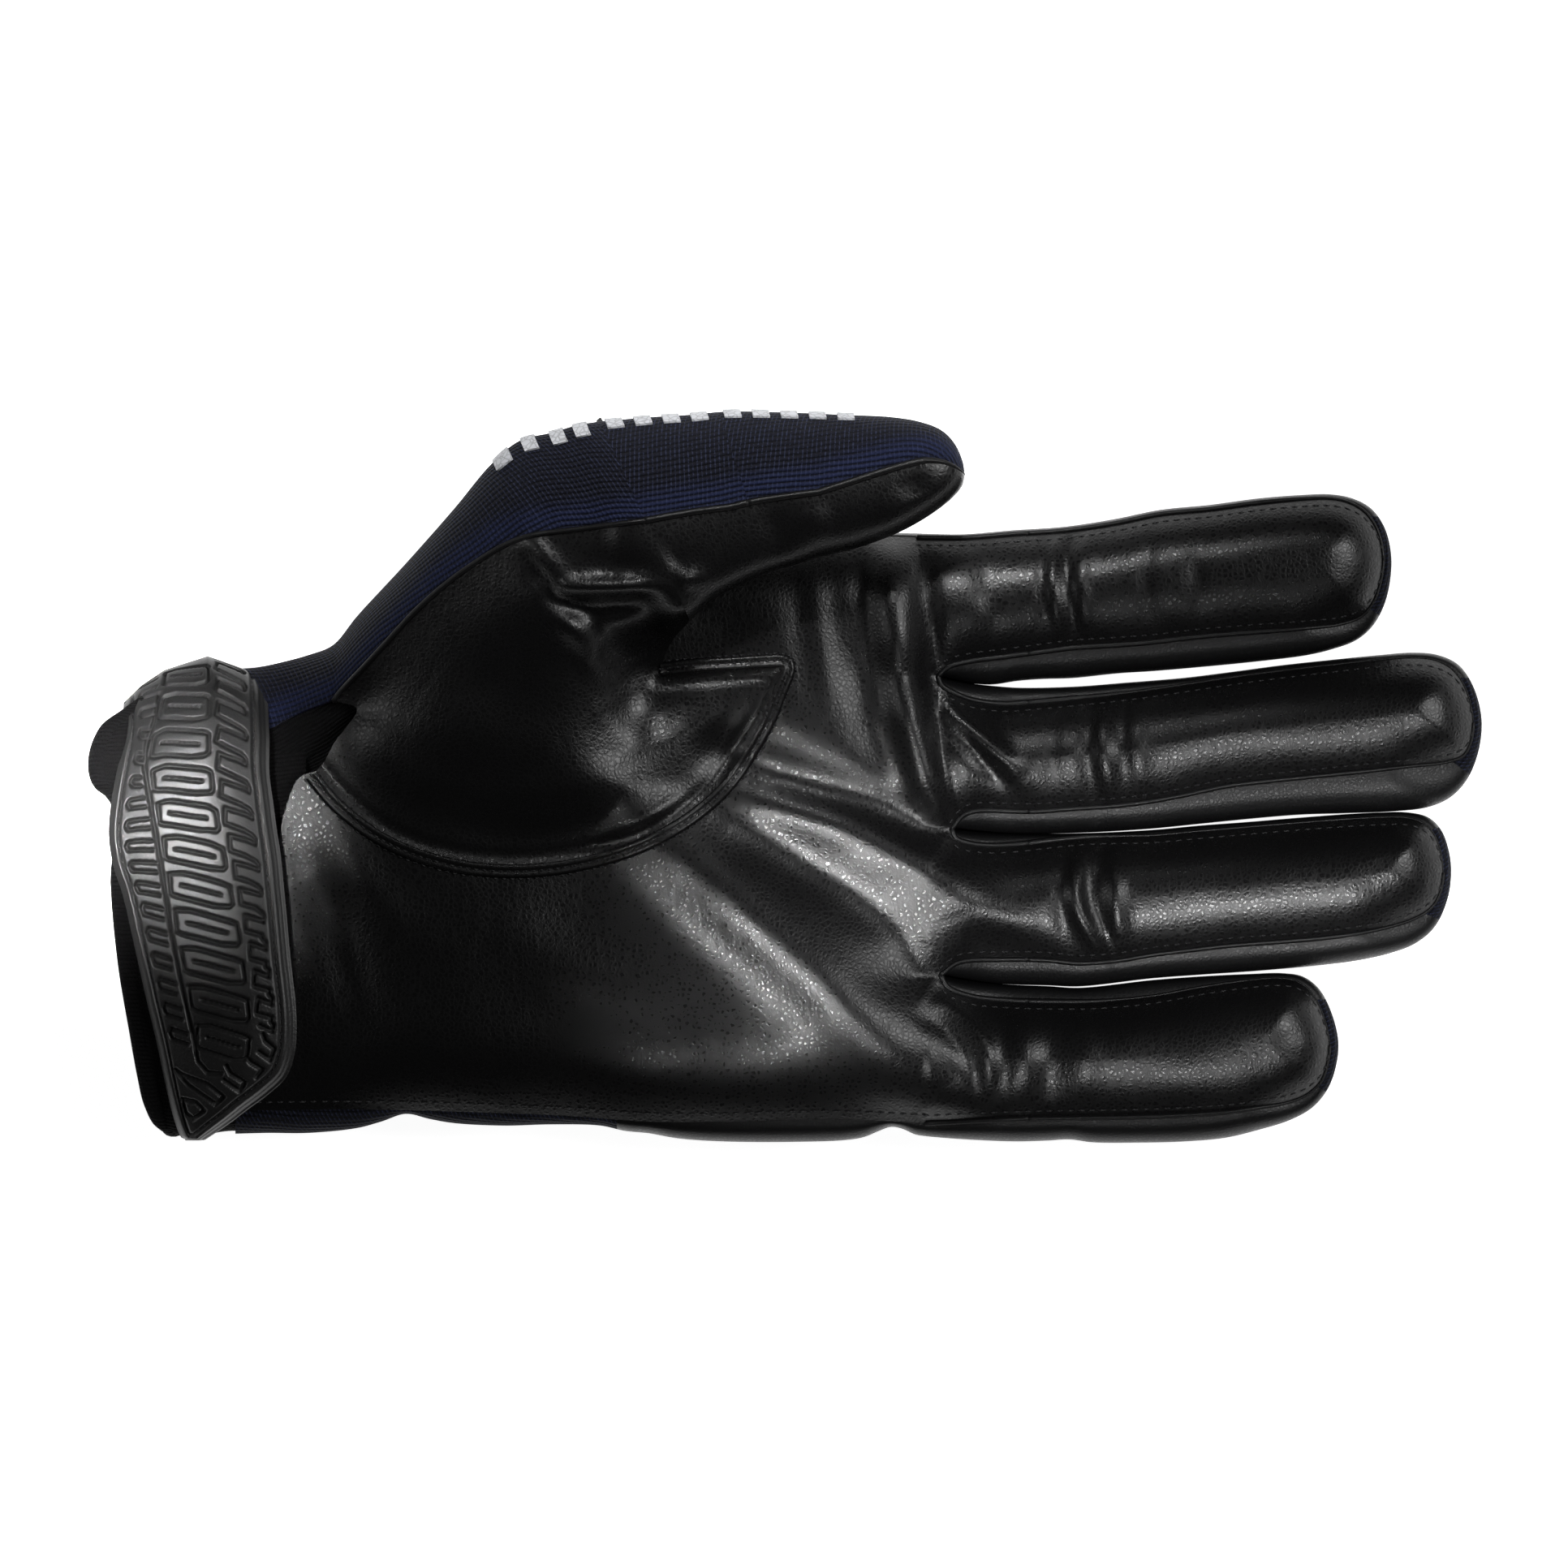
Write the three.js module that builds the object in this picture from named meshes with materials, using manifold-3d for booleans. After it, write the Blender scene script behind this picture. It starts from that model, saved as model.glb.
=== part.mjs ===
// A floorball goalie glove for the left hand, lying on its back with the palm up.
// Millimetres. +X runs from the wrist opening to the fingertips, +Y towards the thumb
// and +Z up out of the palm. The origin lies under the middle of the glove, on the
// surface that it rests on.

import * as THREE from "three";
import Module from "manifold-3d";
import { mergeVertices } from "three/addons/utils/BufferGeometryUtils.js";

const wasm = await Module();
wasm.setup();

// Lengths along the glove
const cuffLength = 35.6;
const palmLength = 116;
const fingerBaseLength = 21.7;
const tipRoundLength = 13;

// The fingers: length from the root, widths at the root and the tip, and how far the
// tip leans towards the thumb
const littleLength = 64.4;
const littleRootWidth = 28.6;
const littleTipWidth = 28;
const ringLength = 83.7;
const ringRootWidth = 22.6;
const ringTipWidth = 25.6;
const ringLean = 3;
const middleLength = 89;
const middleRootWidth = 26.4;
const middleTipWidth = 26.2;
const middleLean = 5.2;
const indexLength = 73.5;
const indexRootWidth = 24.3;
const indexTipWidth = 27.6;
const indexLean = 6.2;
const fingerSpacing = 0.8;
const gloveWidth = 127;
const strapTipOverhang = 1.2;

// Heights
const padThickness = 3;
const fingerHeight = 18.7;
const palmHeight = 23.3;
const wristHeight = 17.7;
const thumbHeight = 18;
const thumbClearance = 0.7;

// Thumb
const thumbRootSetback = 44.3;
const thumbLength = 44;
const thumbBaseLength = 19;
const thumbRootWidth = 32.4;
const thumbTipWidth = 19.6;
const thumbTipRound = 12;

// Walls and gaps
const leatherWall = 1.2;
const knitWall = 1.2;
const cuffWall = 2;
const seamGap = 0.3;
const hingeGap = 0.3;

// Seams along the sides of the digits, above and below their middle
const frontSeamHeight = 4.8;
const backSeamHeight = 6;
const sideEndHeight = 0.9;

// Cuff, its binding and the closing strap
const bindingWidth = 3;
const bindingWall = 2.6;
const cuffWidth = 77.5;
const cuffUlnarInset = 2.8;
const mouthCentreInset = 15;
const mouthUlnarSlant = 10.5;
const mouthRadialSlant = 6;
const strapThickness = 3;
const strapLeftInset = 8;
const strapWidth = 27.5;
const strapPointLength = 18.5;
const strapTipWidth = 7;
const strapTipSlant = 4.5;
const anchorThickness = 2.4;
const tapeThickness = 1;
const tapeMargin = 3.5;
const tapeInset = 24;
const tapeLength = 40;

// Pads on the back of the hand and fingers
const padBevel = 0.8;
const padCorner = 4;
const padEdgeMargin = 4.2;
const padEndMargin = 2.4;
const padTipMargin = 7;
const backPadLength = 56;
const backPadWidth = 62;
const knucklePadLength = 24;
const knucklePadWidth = 84;
const padRowGap = 3;

// How square the cross-sections are: 2 is an ellipse
const fingerSquareness = 2.6;
const handSquareness = 3;
const tipSquareness = 2.4;

// Mesh counts
const frontColumns = 8;
const sideColumns = 3;
const handColumns = 14;
const ringColumns = 28;
const cutReach = 200;

// The four fingers, from the little finger to the index finger
function finger(name, length, rootWidth, tipWidth, lean) {
  return { name, length, rootWidth, tipWidth, lean };
}

const fingers = [
  finger("little", littleLength, littleRootWidth, littleTipWidth, 0),
  finger("ring", ringLength, ringRootWidth, ringTipWidth, ringLean),
  finger("middle", middleLength, middleRootWidth, middleTipWidth, middleLean),
  finger("index", indexLength, indexRootWidth, indexTipWidth, indexLean),
];

// Places that follow from the sizes
const longestFinger = Math.max(...fingers.map(({ length }) => length));
const gloveLength = cuffLength + palmLength + longestFinger;
const knuckleX = gloveLength / 2 - longestFinger;
const wristX = knuckleX - palmLength;
const mouthX = wristX - cuffLength;
const ulnarY = -gloveWidth / 2 + strapTipOverhang;
const bottomZ = padThickness + seamGap;
const fingerTopZ = bottomZ + fingerHeight;
const palmTopZ = bottomZ + palmHeight;
const thumbRootX = knuckleX - thumbRootSetback;
const thumbOuterY = gloveWidth / 2;
const thumbBottomZ = palmTopZ + thumbClearance;
const thumbMiddleZ = thumbBottomZ + thumbHeight / 2;
const thumbTopZ = thumbBottomZ + thumbHeight;
const wristTopZ = bottomZ + wristHeight;
const cuffUlnarY = ulnarY + cuffUlnarInset;
const cuffRadialY = cuffUlnarY + cuffWidth;
const mouthCentreY = cuffRadialY - mouthCentreInset;

let nextEdgeY = ulnarY;
for (const finger of fingers) {
  finger.rootY = nextEdgeY + finger.rootWidth / 2;
  nextEdgeY += finger.rootWidth + fingerSpacing;
}
const radialY = nextEdgeY - fingerSpacing;
const handWidth = radialY - ulnarY;

// Materials
function material(color, roughness, metalness = 0) {
  return new THREE.MeshStandardMaterial({ color, roughness, metalness });
}

const finishes = {
  leather: material(0x232325, 0.42),
  sideLeather: material(0x1a1a1c, 0.38),
  knit: material(0x1d2233, 0.85),
  elastic: material(0x17171a, 0.9),
  rubber: material(0x3a3a3d, 0.5),
  tape: material(0x141416, 0.95),
  foam: material(0x20222a, 0.8),
};

const glove = new THREE.Group();
glove.name = "goalie_glove";

function addMesh(name, geometry, finish) {
  const mesh = new THREE.Mesh(geometry, finish);
  mesh.name = name;
  glove.add(mesh);
  return mesh;
}

// Closed bodies from rows of points

// The signed volume says which way the faces point.
function signedVolume(points, faces) {
  const cross = new THREE.Vector3();
  let sum = 0;
  for (const [a, b, c] of faces) {
    cross.crossVectors(points[b], points[c]);
    sum += points[a].dot(cross);
  }
  return sum;
}

function geometryFrom(points, faces) {
  const outward = signedVolume(points, faces) > 0;
  const geometry = new THREE.BufferGeometry();
  const flat = points.flatMap((point) => [point.x, point.y, point.z]);
  const order = faces.flatMap(([a, b, c]) => (outward ? [a, b, c] : [a, c, b]));
  geometry.setAttribute("position", new THREE.Float32BufferAttribute(flat, 3));
  geometry.setIndex(order);
  geometry.computeVertexNormals();
  return geometry;
}

// A wall between an outer and an inner grid of points. A looped grid closes on itself
// across its columns, as a cuff does round the wrist.
function wallBetween(outerRows, innerRows, looped = false) {
  const rows = outerRows.length;
  const columns = outerRows[0].length;
  const points = [...outerRows.flat(), ...innerRows.flat()];
  const outer = (row, column) => row * columns + (column % columns);
  const inner = (row, column) => rows * columns + outer(row, column);
  const faces = [];
  const quad = (a, b, c, d) => faces.push([a, b, c], [a, c, d]);
  const lastColumn = looped ? columns : columns - 1;
  for (let row = 0; row < rows - 1; row++) {
    for (let column = 0; column < lastColumn; column++) {
      const next = column + 1;
      quad(outer(row, column), outer(row, next), outer(row + 1, next), outer(row + 1, column));
      quad(inner(row, column), inner(row + 1, column), inner(row + 1, next), inner(row, next));
    }
  }
  for (let column = 0; column < lastColumn; column++) {
    const next = column + 1;
    const last = rows - 1;
    quad(outer(0, next), outer(0, column), inner(0, column), inner(0, next));
    quad(outer(last, column), outer(last, next), inner(last, next), inner(last, column));
  }
  if (!looped) {
    for (let row = 0; row < rows - 1; row++) {
      const edge = columns - 1;
      quad(outer(row, 0), outer(row + 1, 0), inner(row + 1, 0), inner(row, 0));
      quad(outer(row + 1, edge), outer(row, edge), inner(row, edge), inner(row + 1, edge));
    }
  }
  return geometryFrom(points, faces);
}

function solidOf(geometry) {
  const bare = geometry.clone();
  bare.deleteAttribute("normal");
  bare.deleteAttribute("uv");
  const merged = mergeVertices(bare);
  const vertProperties = new Float32Array(merged.attributes.position.array);
  const triVerts = new Uint32Array(merged.index.array);
  return new wasm.Manifold(new wasm.Mesh({ numProp: 3, vertProperties, triVerts }));
}

function geometryOf(solid) {
  const { vertProperties, triVerts } = solid.getMesh();
  const geometry = new THREE.BufferGeometry();
  geometry.setAttribute("position", new THREE.Float32BufferAttribute(vertProperties, 3));
  geometry.setIndex([...triVerts]);
  geometry.computeVertexNormals();
  return geometry;
}

// An upright prism over an outline, tall enough to cut right through the glove
function prismOver(outline) {
  const shape = new THREE.Shape(outline.map(([x, y]) => new THREE.Vector2(x, y)));
  const geometry = new THREE.ExtrudeGeometry(shape, { depth: cutReach, bevelEnabled: false });
  geometry.translate(0, 0, -cutReach / 2);
  return solidOf(geometry);
}

// Cross-sections

// A section is a rounded box across X: its middle, half sizes and squareness.
function sectionPoint(section, angle, inset) {
  const power = 2 / section.squareness;
  const cos = Math.cos(angle);
  const sin = Math.sin(angle);
  return new THREE.Vector3(
    section.x,
    section.y + (section.halfWidth - inset) * Math.sign(cos) * Math.abs(cos) ** power,
    section.z + (section.halfHeight - inset) * Math.sign(sin) * Math.abs(sin) ** power,
  );
}

// The angle at which the section's edge reaches a height above its middle
function angleAtHeight(section, height) {
  const share = Math.min(Math.max(height / section.halfHeight, 0), 1);
  return Math.asin(share ** (section.squareness / 2));
}

const mix = THREE.MathUtils.lerp;

function steps(count, from = 0, to = 1) {
  return Array.from({ length: count + 1 }, (_, step) => mix(from, to, step / count));
}

// A panel is the part of a tube's wall between two angles, over a run of sections.
function panel(sections, anglesOf, columns, wall) {
  const outerRows = [];
  const innerRows = [];
  for (const { outer, inner } of sections) {
    const [from, to] = anglesOf(outer);
    const angles = steps(columns, from, to);
    outerRows.push(angles.map((angle) => sectionPoint(outer, angle, 0)));
    innerRows.push(angles.map((angle) => sectionPoint(inner, angle, wall)));
  }
  return wallBetween(outerRows, innerRows);
}

// Digits

// The sections of a digit between two distances from its root. Where the stretch takes
// in the tip, its last sections close in a round end.
const tipAngleShares = [0.3, 0.55, 0.75, 0.9, 0.975];
const sideEndShare = 0.55;
const straightSegments = 2;

function digitSections(digit, from, to, wall) {
  const roundStart = digit.length - digit.tipRound;
  const straightEnd = Math.min(to, roundStart);
  const sectionAt = (distance) => {
    const share = distance / digit.length;
    const halfWidth = mix(digit.rootWidth, digit.tipWidth, share) / 2;
    return {
      x: digit.rootX + distance,
      y: digit.centreAt(share, halfWidth),
      z: digit.middleZ,
      halfWidth,
      halfHeight: digit.height / 2,
      squareness: fingerSquareness,
      seamShare: 1,
    };
  };
  const sections = steps(straightSegments, from, straightEnd).map((distance) => {
    const outer = sectionAt(distance);
    return { outer, inner: outer };
  });
  if (to < digit.length) {
    return sections;
  }
  const power = 2 / tipSquareness;
  for (const angleShare of tipAngleShares) {
    const angle = (angleShare * Math.PI) / 2;
    const along = Math.sin(angle) ** power;
    const across = Math.cos(angle) ** power;
    const outer = sectionAt(roundStart + digit.tipRound * along);
    const inner = { ...outer };
    inner.x = digit.rootX + roundStart + (digit.tipRound - wall) * along;
    inner.halfWidth = (outer.halfWidth - wall) * across + wall;
    inner.halfHeight = (outer.halfHeight - wall) * across + wall;
    outer.halfWidth *= across;
    outer.halfHeight *= across;
    outer.seamShare = 1 - angleShare / sideEndShare;
    sections.push({ outer, inner });
  }
  return sections;
}

// The front and back seam heights close towards the tip, where the side panels end.
function seamHeights(section) {
  const front = mix(sideEndHeight, frontSeamHeight, section.seamShare);
  const back = mix(sideEndHeight, backSeamHeight, section.seamShare);
  return { front, back };
}

function frontAngles(section) {
  const past = section.seamShare < 0 ? 0 : seamHeights(section).front;
  const seam = angleAtHeight(section, past + seamGap / 2);
  return [seam, Math.PI - seam];
}

function backAngles(section) {
  const past = section.seamShare < 0 ? 0 : seamHeights(section).back;
  const seam = angleAtHeight(section, past + seamGap / 2);
  return [Math.PI + seam, 2 * Math.PI - seam];
}

function radialAngles(section) {
  const { front, back } = seamHeights(section);
  return [-angleAtHeight(section, back - seamGap / 2), angleAtHeight(section, front - seamGap / 2)];
}

function ulnarAngles(section) {
  const [low, high] = radialAngles(section);
  return [Math.PI - high, Math.PI - low];
}

function sideSections(sections) {
  return sections.filter(({ outer }) => outer.seamShare >= 0);
}

for (const finger of fingers) {
  const digit = {
    rootX: knuckleX,
    length: finger.length,
    rootWidth: finger.rootWidth,
    tipWidth: finger.tipWidth,
    tipRound: tipRoundLength,
    height: fingerHeight,
    middleZ: bottomZ + fingerHeight / 2,
    centreAt: (share) => finger.rootY + finger.lean * share,
  };
  const stretches = [
    ["base", hingeGap / 2, fingerBaseLength - hingeGap / 2],
    ["tip", fingerBaseLength + hingeGap / 2, finger.length],
  ];
  for (const [part, from, to] of stretches) {
    const sections = digitSections(digit, from, to, leatherWall);
    const sides = sideSections(sections);
    const name = `${finger.name}_${part}`;
    const front = panel(sections, frontAngles, frontColumns, leatherWall);
    const back = panel(sections, backAngles, frontColumns, knitWall);
    const thumbwardSide = panel(sides, radialAngles, sideColumns, leatherWall);
    const outwardSide = panel(sides, ulnarAngles, sideColumns, leatherWall);
    addMesh(`${name}_front`, front, finishes.leather);
    addMesh(`${name}_back`, back, finishes.knit);
    addMesh(`${name}_thumbward_side`, thumbwardSide, finishes.sideLeather);
    addMesh(`${name}_outward_side`, outwardSide, finishes.sideLeather);
    const padFrom = from + padEndMargin;
    const padTo = part === "tip" ? to - padTipMargin : to - padEndMargin;
    const middle = (padFrom + padTo) / 2;
    const width = mix(finger.rootWidth, finger.tipWidth, middle / finger.length) - 2 * padEdgeMargin;
    const pad = addMesh(`${name}_pad`, padGeometry(padTo - padFrom, width), finishes.foam);
    pad.position.set(knuckleX + middle, digit.centreAt(middle / finger.length), 0);
    pad.rotation.z = Math.atan(finger.lean / finger.length);
  }
}

// A flat pad with round corners and bevelled edges, standing on its own origin
function padGeometry(length, width) {
  const x = length / 2 - padBevel;
  const y = width / 2 - padBevel;
  const r = padCorner - padBevel;
  const shape = new THREE.Shape();
  shape.moveTo(r - x, -y);
  shape.absarc(x - r, r - y, r, -Math.PI / 2, 0, false);
  shape.absarc(x - r, y - r, r, 0, Math.PI / 2, false);
  shape.absarc(r - x, y - r, r, Math.PI / 2, Math.PI, false);
  shape.absarc(r - x, r - y, r, Math.PI, 1.5 * Math.PI, false);
  const geometry = new THREE.ExtrudeGeometry(shape, {
    depth: padThickness - 2 * padBevel,
    bevelThickness: padBevel,
    bevelSize: padBevel,
    bevelSegments: 1,
    curveSegments: 3,
  });
  geometry.translate(0, 0, padBevel);
  return geometry;
}

// Thumb, which lies over the palm with its back turned outwards
const thumb = {
  rootX: thumbRootX,
  length: thumbLength,
  rootWidth: thumbRootWidth,
  tipWidth: thumbTipWidth,
  tipRound: thumbTipRound,
  height: thumbHeight,
  middleZ: thumbMiddleZ,
  centreAt: (share, halfWidth) => thumbOuterY - halfWidth,
};

// The thumb's seam between leather and knit runs along its top and its underside.
const thumbSeamRootShare = 0.04;
const thumbSeamTipShare = 0.35;

function thumbSeamAngle(section) {
  const along = (section.x - thumbRootX) / thumbLength;
  const share = mix(thumbSeamRootShare, thumbSeamTipShare, along);
  return Math.acos(share ** (section.squareness / 2));
}

function thumbGapAngle(section) {
  return seamGap / 2 / section.halfHeight;
}

function thumbFrontAngles(section) {
  const seam = thumbSeamAngle(section) + thumbGapAngle(section);
  return [seam, 2 * Math.PI - seam];
}

function thumbBackAngles(section) {
  const seam = thumbSeamAngle(section) - thumbGapAngle(section);
  return [-seam, seam];
}

const thumbStretches = [
  ["base", hingeGap / 2, thumbBaseLength - hingeGap / 2],
  ["tip", thumbBaseLength + hingeGap / 2, thumbLength],
];
for (const [part, from, to] of thumbStretches) {
  const sections = digitSections(thumb, from, to, leatherWall);
  const front = panel(sections, thumbFrontAngles, frontColumns, leatherWall);
  const back = panel(sections, thumbBackAngles, frontColumns, knitWall);
  addMesh(`thumb_${part}_front`, front, finishes.leather);
  addMesh(`thumb_${part}_back`, back, finishes.knit);
}

// Hand

// Shares of the palm's length from the wrist, with the edges there. The radial edge is
// the one on the thumb's side and the ulnar edge the one on the little finger's side.
const edgeShares = [
  { along: 0, radial: 0.78, ulnar: 0.017, top: 0 },
  { along: 0.06, radial: 0.815, ulnar: 0.025, top: 0.2 },
  { along: 0.16, radial: 0.91, ulnar: 0.043, top: 0.6 },
  { along: 0.25, radial: 0.985, ulnar: 0.04, top: 0.85 },
  { along: 0.36, radial: 1.01, ulnar: 0.028, top: 1 },
  { along: 0.5, radial: 1.01, ulnar: 0.012, top: 1 },
  { along: 0.63, radial: 1.01, ulnar: 0.002, top: 0.95 },
  { along: 0.78, radial: 1.005, ulnar: 0.012, top: 0.65 },
  { along: 0.9, radial: 1, ulnar: 0.008, top: 0.3 },
  { along: 1, radial: 1, ulnar: 0, top: 0 },
];

function edgesAt(x) {
  const along = Math.min(Math.max((x - wristX) / palmLength, 0), 1);
  const next = Math.max(1, edgeShares.findIndex((edge) => edge.along >= along));
  const before = edgeShares[next - 1];
  const after = edgeShares[next];
  const share = (along - before.along) / (after.along - before.along);
  const endTopZ = mix(wristTopZ, fingerTopZ, along);
  return {
    radial: ulnarY + handWidth * mix(before.radial, after.radial, share),
    ulnar: ulnarY + handWidth * mix(before.ulnar, after.ulnar, share),
    top: mix(endTopZ, palmTopZ, mix(before.top, after.top, share)),
  };
}

function handSection(x) {
  const edges = edgesAt(x);
  return {
    x,
    y: (edges.radial + edges.ulnar) / 2,
    z: (edges.top + bottomZ) / 2,
    halfWidth: (edges.radial - edges.ulnar) / 2,
    halfHeight: (edges.top - bottomZ) / 2,
    squareness: handSquareness,
    seamShare: 1,
  };
}

function handSections(from, to) {
  const inside = edgeShares.map((edge) => wristX + edge.along * palmLength);
  const places = [from, ...inside.filter((x) => x > from + seamGap && x < to - seamGap), to];
  return places.map((x) => {
    const outer = handSection(x);
    return { outer, inner: outer };
  });
}

const handStart = wristX + seamGap / 2;
const handEnd = knuckleX - hingeGap / 2;
const thumbRootEnd = thumbRootX - hingeGap / 2;

// The curved seam of the thumb mound on the palm, the seam between its leather and the
// knit, and the outer edge, as shares of the palm's length and width, with the shares
// of the rise from the palm up to the thumb
const moundShares = [
  { palm: [0.03, 0.62], knit: [0.058, 0.745], edge: [0.066, 0.822], knitRise: 0, edgeRise: 0 },
  { palm: [0.07, 0.565], knit: [0.115, 0.81], edge: [0.125, 0.905], knitRise: 0.2, edgeRise: 0.14 },
  { palm: [0.145, 0.505], knit: [0.19, 0.885], edge: [0.19, 0.985], knitRise: 0.42, edgeRise: 0.4 },
  { palm: [0.24, 0.467], knit: [0.26, 0.945], edge: [0.245, 1.045], knitRise: 0.65, edgeRise: 0.62 },
  { palm: [0.34, 0.457], knit: [0.335, 0.995], edge: [0.31, 1.125], knitRise: 0.82, edgeRise: 0.82 },
  { palm: [0.435, 0.47], knit: [0.4, 1.01], edge: [0.39, 1.165], knitRise: 0.92, edgeRise: 0.92 },
  { palm: [0.52, 0.505], knit: [0.46, 1.02], edge: [0.455, 1.18], knitRise: 0.97, edgeRise: 0.97 },
  { palm: [0.585, 0.58], knit: [0.53, 1.03], edge: [0.53, 1.195], knitRise: 1, edgeRise: 1 },
  { palm: [0.608, 0.7], knit: [0.58, 1.04], edge: [0.58, 1.2], knitRise: 1, edgeRise: 1 },
];
const moundEndShare = 0.892;
const moundCrownShare = 0.9;
const moundLeanShare = 0.3;
const coreHeightShare = 0.4;
const moundColumns = 6;

function handPlace([along, across]) {
  return [wristX + along * palmLength, ulnarY + across * handWidth];
}

function palmSurfacePoint(x, y) {
  const section = handSection(x);
  const share = Math.min(Math.abs(y - section.y) / section.halfWidth, 1);
  const rise = (1 - share ** section.squareness) ** (1 / section.squareness);
  return new THREE.Vector3(x, y, section.z + section.halfHeight * rise);
}

function backSeamPoint(x) {
  const section = handSection(x);
  return sectionPoint(section, radialAngles(section)[0], 0);
}

function moundRow({ palm, knit, edge, knitRise, edgeRise }) {
  const [palmX, palmY] = handPlace(palm);
  const [knitX, knitY] = handPlace(knit);
  const [edgeX, edgeY] = handPlace(edge);
  const section = handSection(edgeX);
  const seam = palmSurfacePoint(knitX, knitY);
  seam.z = mix(seam.z, thumbTopZ, knitRise);
  return {
    palm: palmSurfacePoint(palmX, palmY),
    seam,
    edge: new THREE.Vector3(edgeX, edgeY, mix(section.z, thumbMiddleZ, edgeRise)),
    back: backSeamPoint(edgeX),
  };
}

const moundRows = moundShares.map(moundRow);
moundRows.push({
  palm: palmSurfacePoint(thumbRootEnd, ulnarY + moundEndShare * handWidth),
  seam: new THREE.Vector3(thumbRootEnd, thumbOuterY - thumbRootWidth / 2, thumbTopZ),
  edge: new THREE.Vector3(thumbRootEnd, thumbOuterY, thumbMiddleZ),
  back: backSeamPoint(thumbRootEnd),
});

// The row where the knit starts at the wrist, beside the elastic gusset
const wristSeamShare = 0.715;
const wristSection = handSection(handStart);
const wristRow = {
  seam: palmSurfacePoint(handStart, ulnarY + wristSeamShare * handWidth),
  edge: sectionPoint(wristSection, 0, 0),
  back: backSeamPoint(handStart),
};
wristRow.palm = wristRow.seam;

// A curve with three points, sampled between two of its shares
function arcPoints(start, bend, end, from, to, count) {
  const curve = new THREE.QuadraticBezierCurve3(start, bend, end);
  return steps(count, from, to).map((share) => curve.getPoint(share));
}

// The inside of the mound lies one wall nearer to a line down the middle of its hollow,
// so the panels that meet at a seam share their edges' slant.
function towardsCore(points, row, wall) {
  const core = row.palm.clone().add(row.edge).multiplyScalar(1 / 2);
  core.z = mix(bottomZ, row.seam.z, coreHeightShare);
  return points.map((point) => {
    const inward = core.clone().sub(point).normalize();
    return point.clone().addScaledVector(inward, wall);
  });
}

function thenarGeometry() {
  const outerRows = moundRows.map((row) => {
    const bend = row.palm.clone().lerp(row.seam, moundLeanShare);
    bend.z = mix(row.palm.z, row.seam.z, moundCrownShare);
    const margin = seamGap / row.palm.distanceTo(row.seam);
    return arcPoints(row.palm, bend, row.seam, margin, 1 - margin / 2, moundColumns);
  });
  const innerRows = outerRows.map((points, index) => towardsCore(points, moundRows[index], leatherWall));
  return wallBetween(outerRows, innerRows);
}

function thumbSideKnitGeometry() {
  const rows = [wristRow, ...moundRows];
  const outerRows = rows.map((row) => {
    const bend = row.edge.clone().multiplyScalar(2);
    bend.addScaledVector(row.seam, -1 / 2).addScaledVector(row.back, -1 / 2);
    const margin = seamGap / 2 / row.seam.distanceTo(row.edge);
    return arcPoints(row.seam, bend, row.back, margin, 1, moundColumns);
  });
  const innerRows = outerRows.map((points, index) => towardsCore(points, rows[index], knitWall));
  return wallBetween(outerRows, innerRows);
}

// The palm sheet is the whole front of the hand less the mound and the wrist gusset.
const palmPanel = panel(handSections(handStart, handEnd), frontAngles, handColumns, leatherWall);
const wholePalm = solidOf(palmPanel);
const gussetLowY = moundRows[0].palm.y + seamGap;
const moundOutline = [
  [wristX - cutReach, gussetLowY],
  ...moundRows.map((row) => [row.palm.x, row.palm.y]),
  [thumbRootEnd, cutReach],
  [wristX - cutReach, cutReach],
];
const gussetOutline = [
  [wristX - cutReach, gussetLowY + seamGap],
  [moundRows[0].palm.x - seamGap, moundRows[0].palm.y + 2 * seamGap],
  [moundRows[0].seam.x - 2 * seamGap, moundRows[0].seam.y - 2 * seamGap],
  [handStart, wristRow.seam.y - seamGap],
  [wristX - cutReach, wristRow.seam.y - seamGap],
];
addMesh("palm_leather", geometryOf(wholePalm.subtract(prismOver(moundOutline))), finishes.leather);
addMesh("wrist_gusset", geometryOf(wholePalm.intersect(prismOver(gussetOutline))), finishes.elastic);
addMesh("thenar_leather", thenarGeometry(), finishes.leather);
addMesh("thumb_side_knit", thumbSideKnitGeometry(), finishes.knit);

const backColumns = 10;
const sideSplitShare = 0.52;
const sideSplitX = wristX + sideSplitShare * palmLength;
const backSections = handSections(handStart, handEnd);
const indexSideSections = handSections(thumbRootX + hingeGap / 2, handEnd);
const knitSideSections = handSections(handStart, sideSplitX - seamGap / 2);
const leatherSideSections = handSections(sideSplitX + seamGap / 2, handEnd);
const backPanel = panel(backSections, backAngles, backColumns, knitWall);
const indexSide = panel(indexSideSections, radialAngles, sideColumns, leatherWall);
const knitSide = panel(knitSideSections, ulnarAngles, sideColumns, knitWall);
const leatherSide = panel(leatherSideSections, ulnarAngles, sideColumns, leatherWall);
addMesh("back_knit", backPanel, finishes.knit);
addMesh("index_side_leather", indexSide, finishes.sideLeather);
addMesh("outer_side_knit", knitSide, finishes.knit);
addMesh("outer_side_leather", leatherSide, finishes.sideLeather);

// Pads under the back of the hand: one over the back and one along the knuckles
const knucklePad = addMesh("knuckle_pad", padGeometry(knucklePadLength, knucklePadWidth), finishes.foam);
const knucklePadX = knuckleX - padRowGap - knucklePadLength / 2;
knucklePad.position.set(knucklePadX, ulnarY + handWidth / 2, 0);
const backPad = addMesh("back_pad", padGeometry(backPadLength, backPadWidth), finishes.foam);
const backPadX = knucklePadX - knucklePadLength / 2 - padRowGap - backPadLength / 2;
backPad.position.set(backPadX, ulnarY + handWidth / 2, 0);

// Cuff

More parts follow.
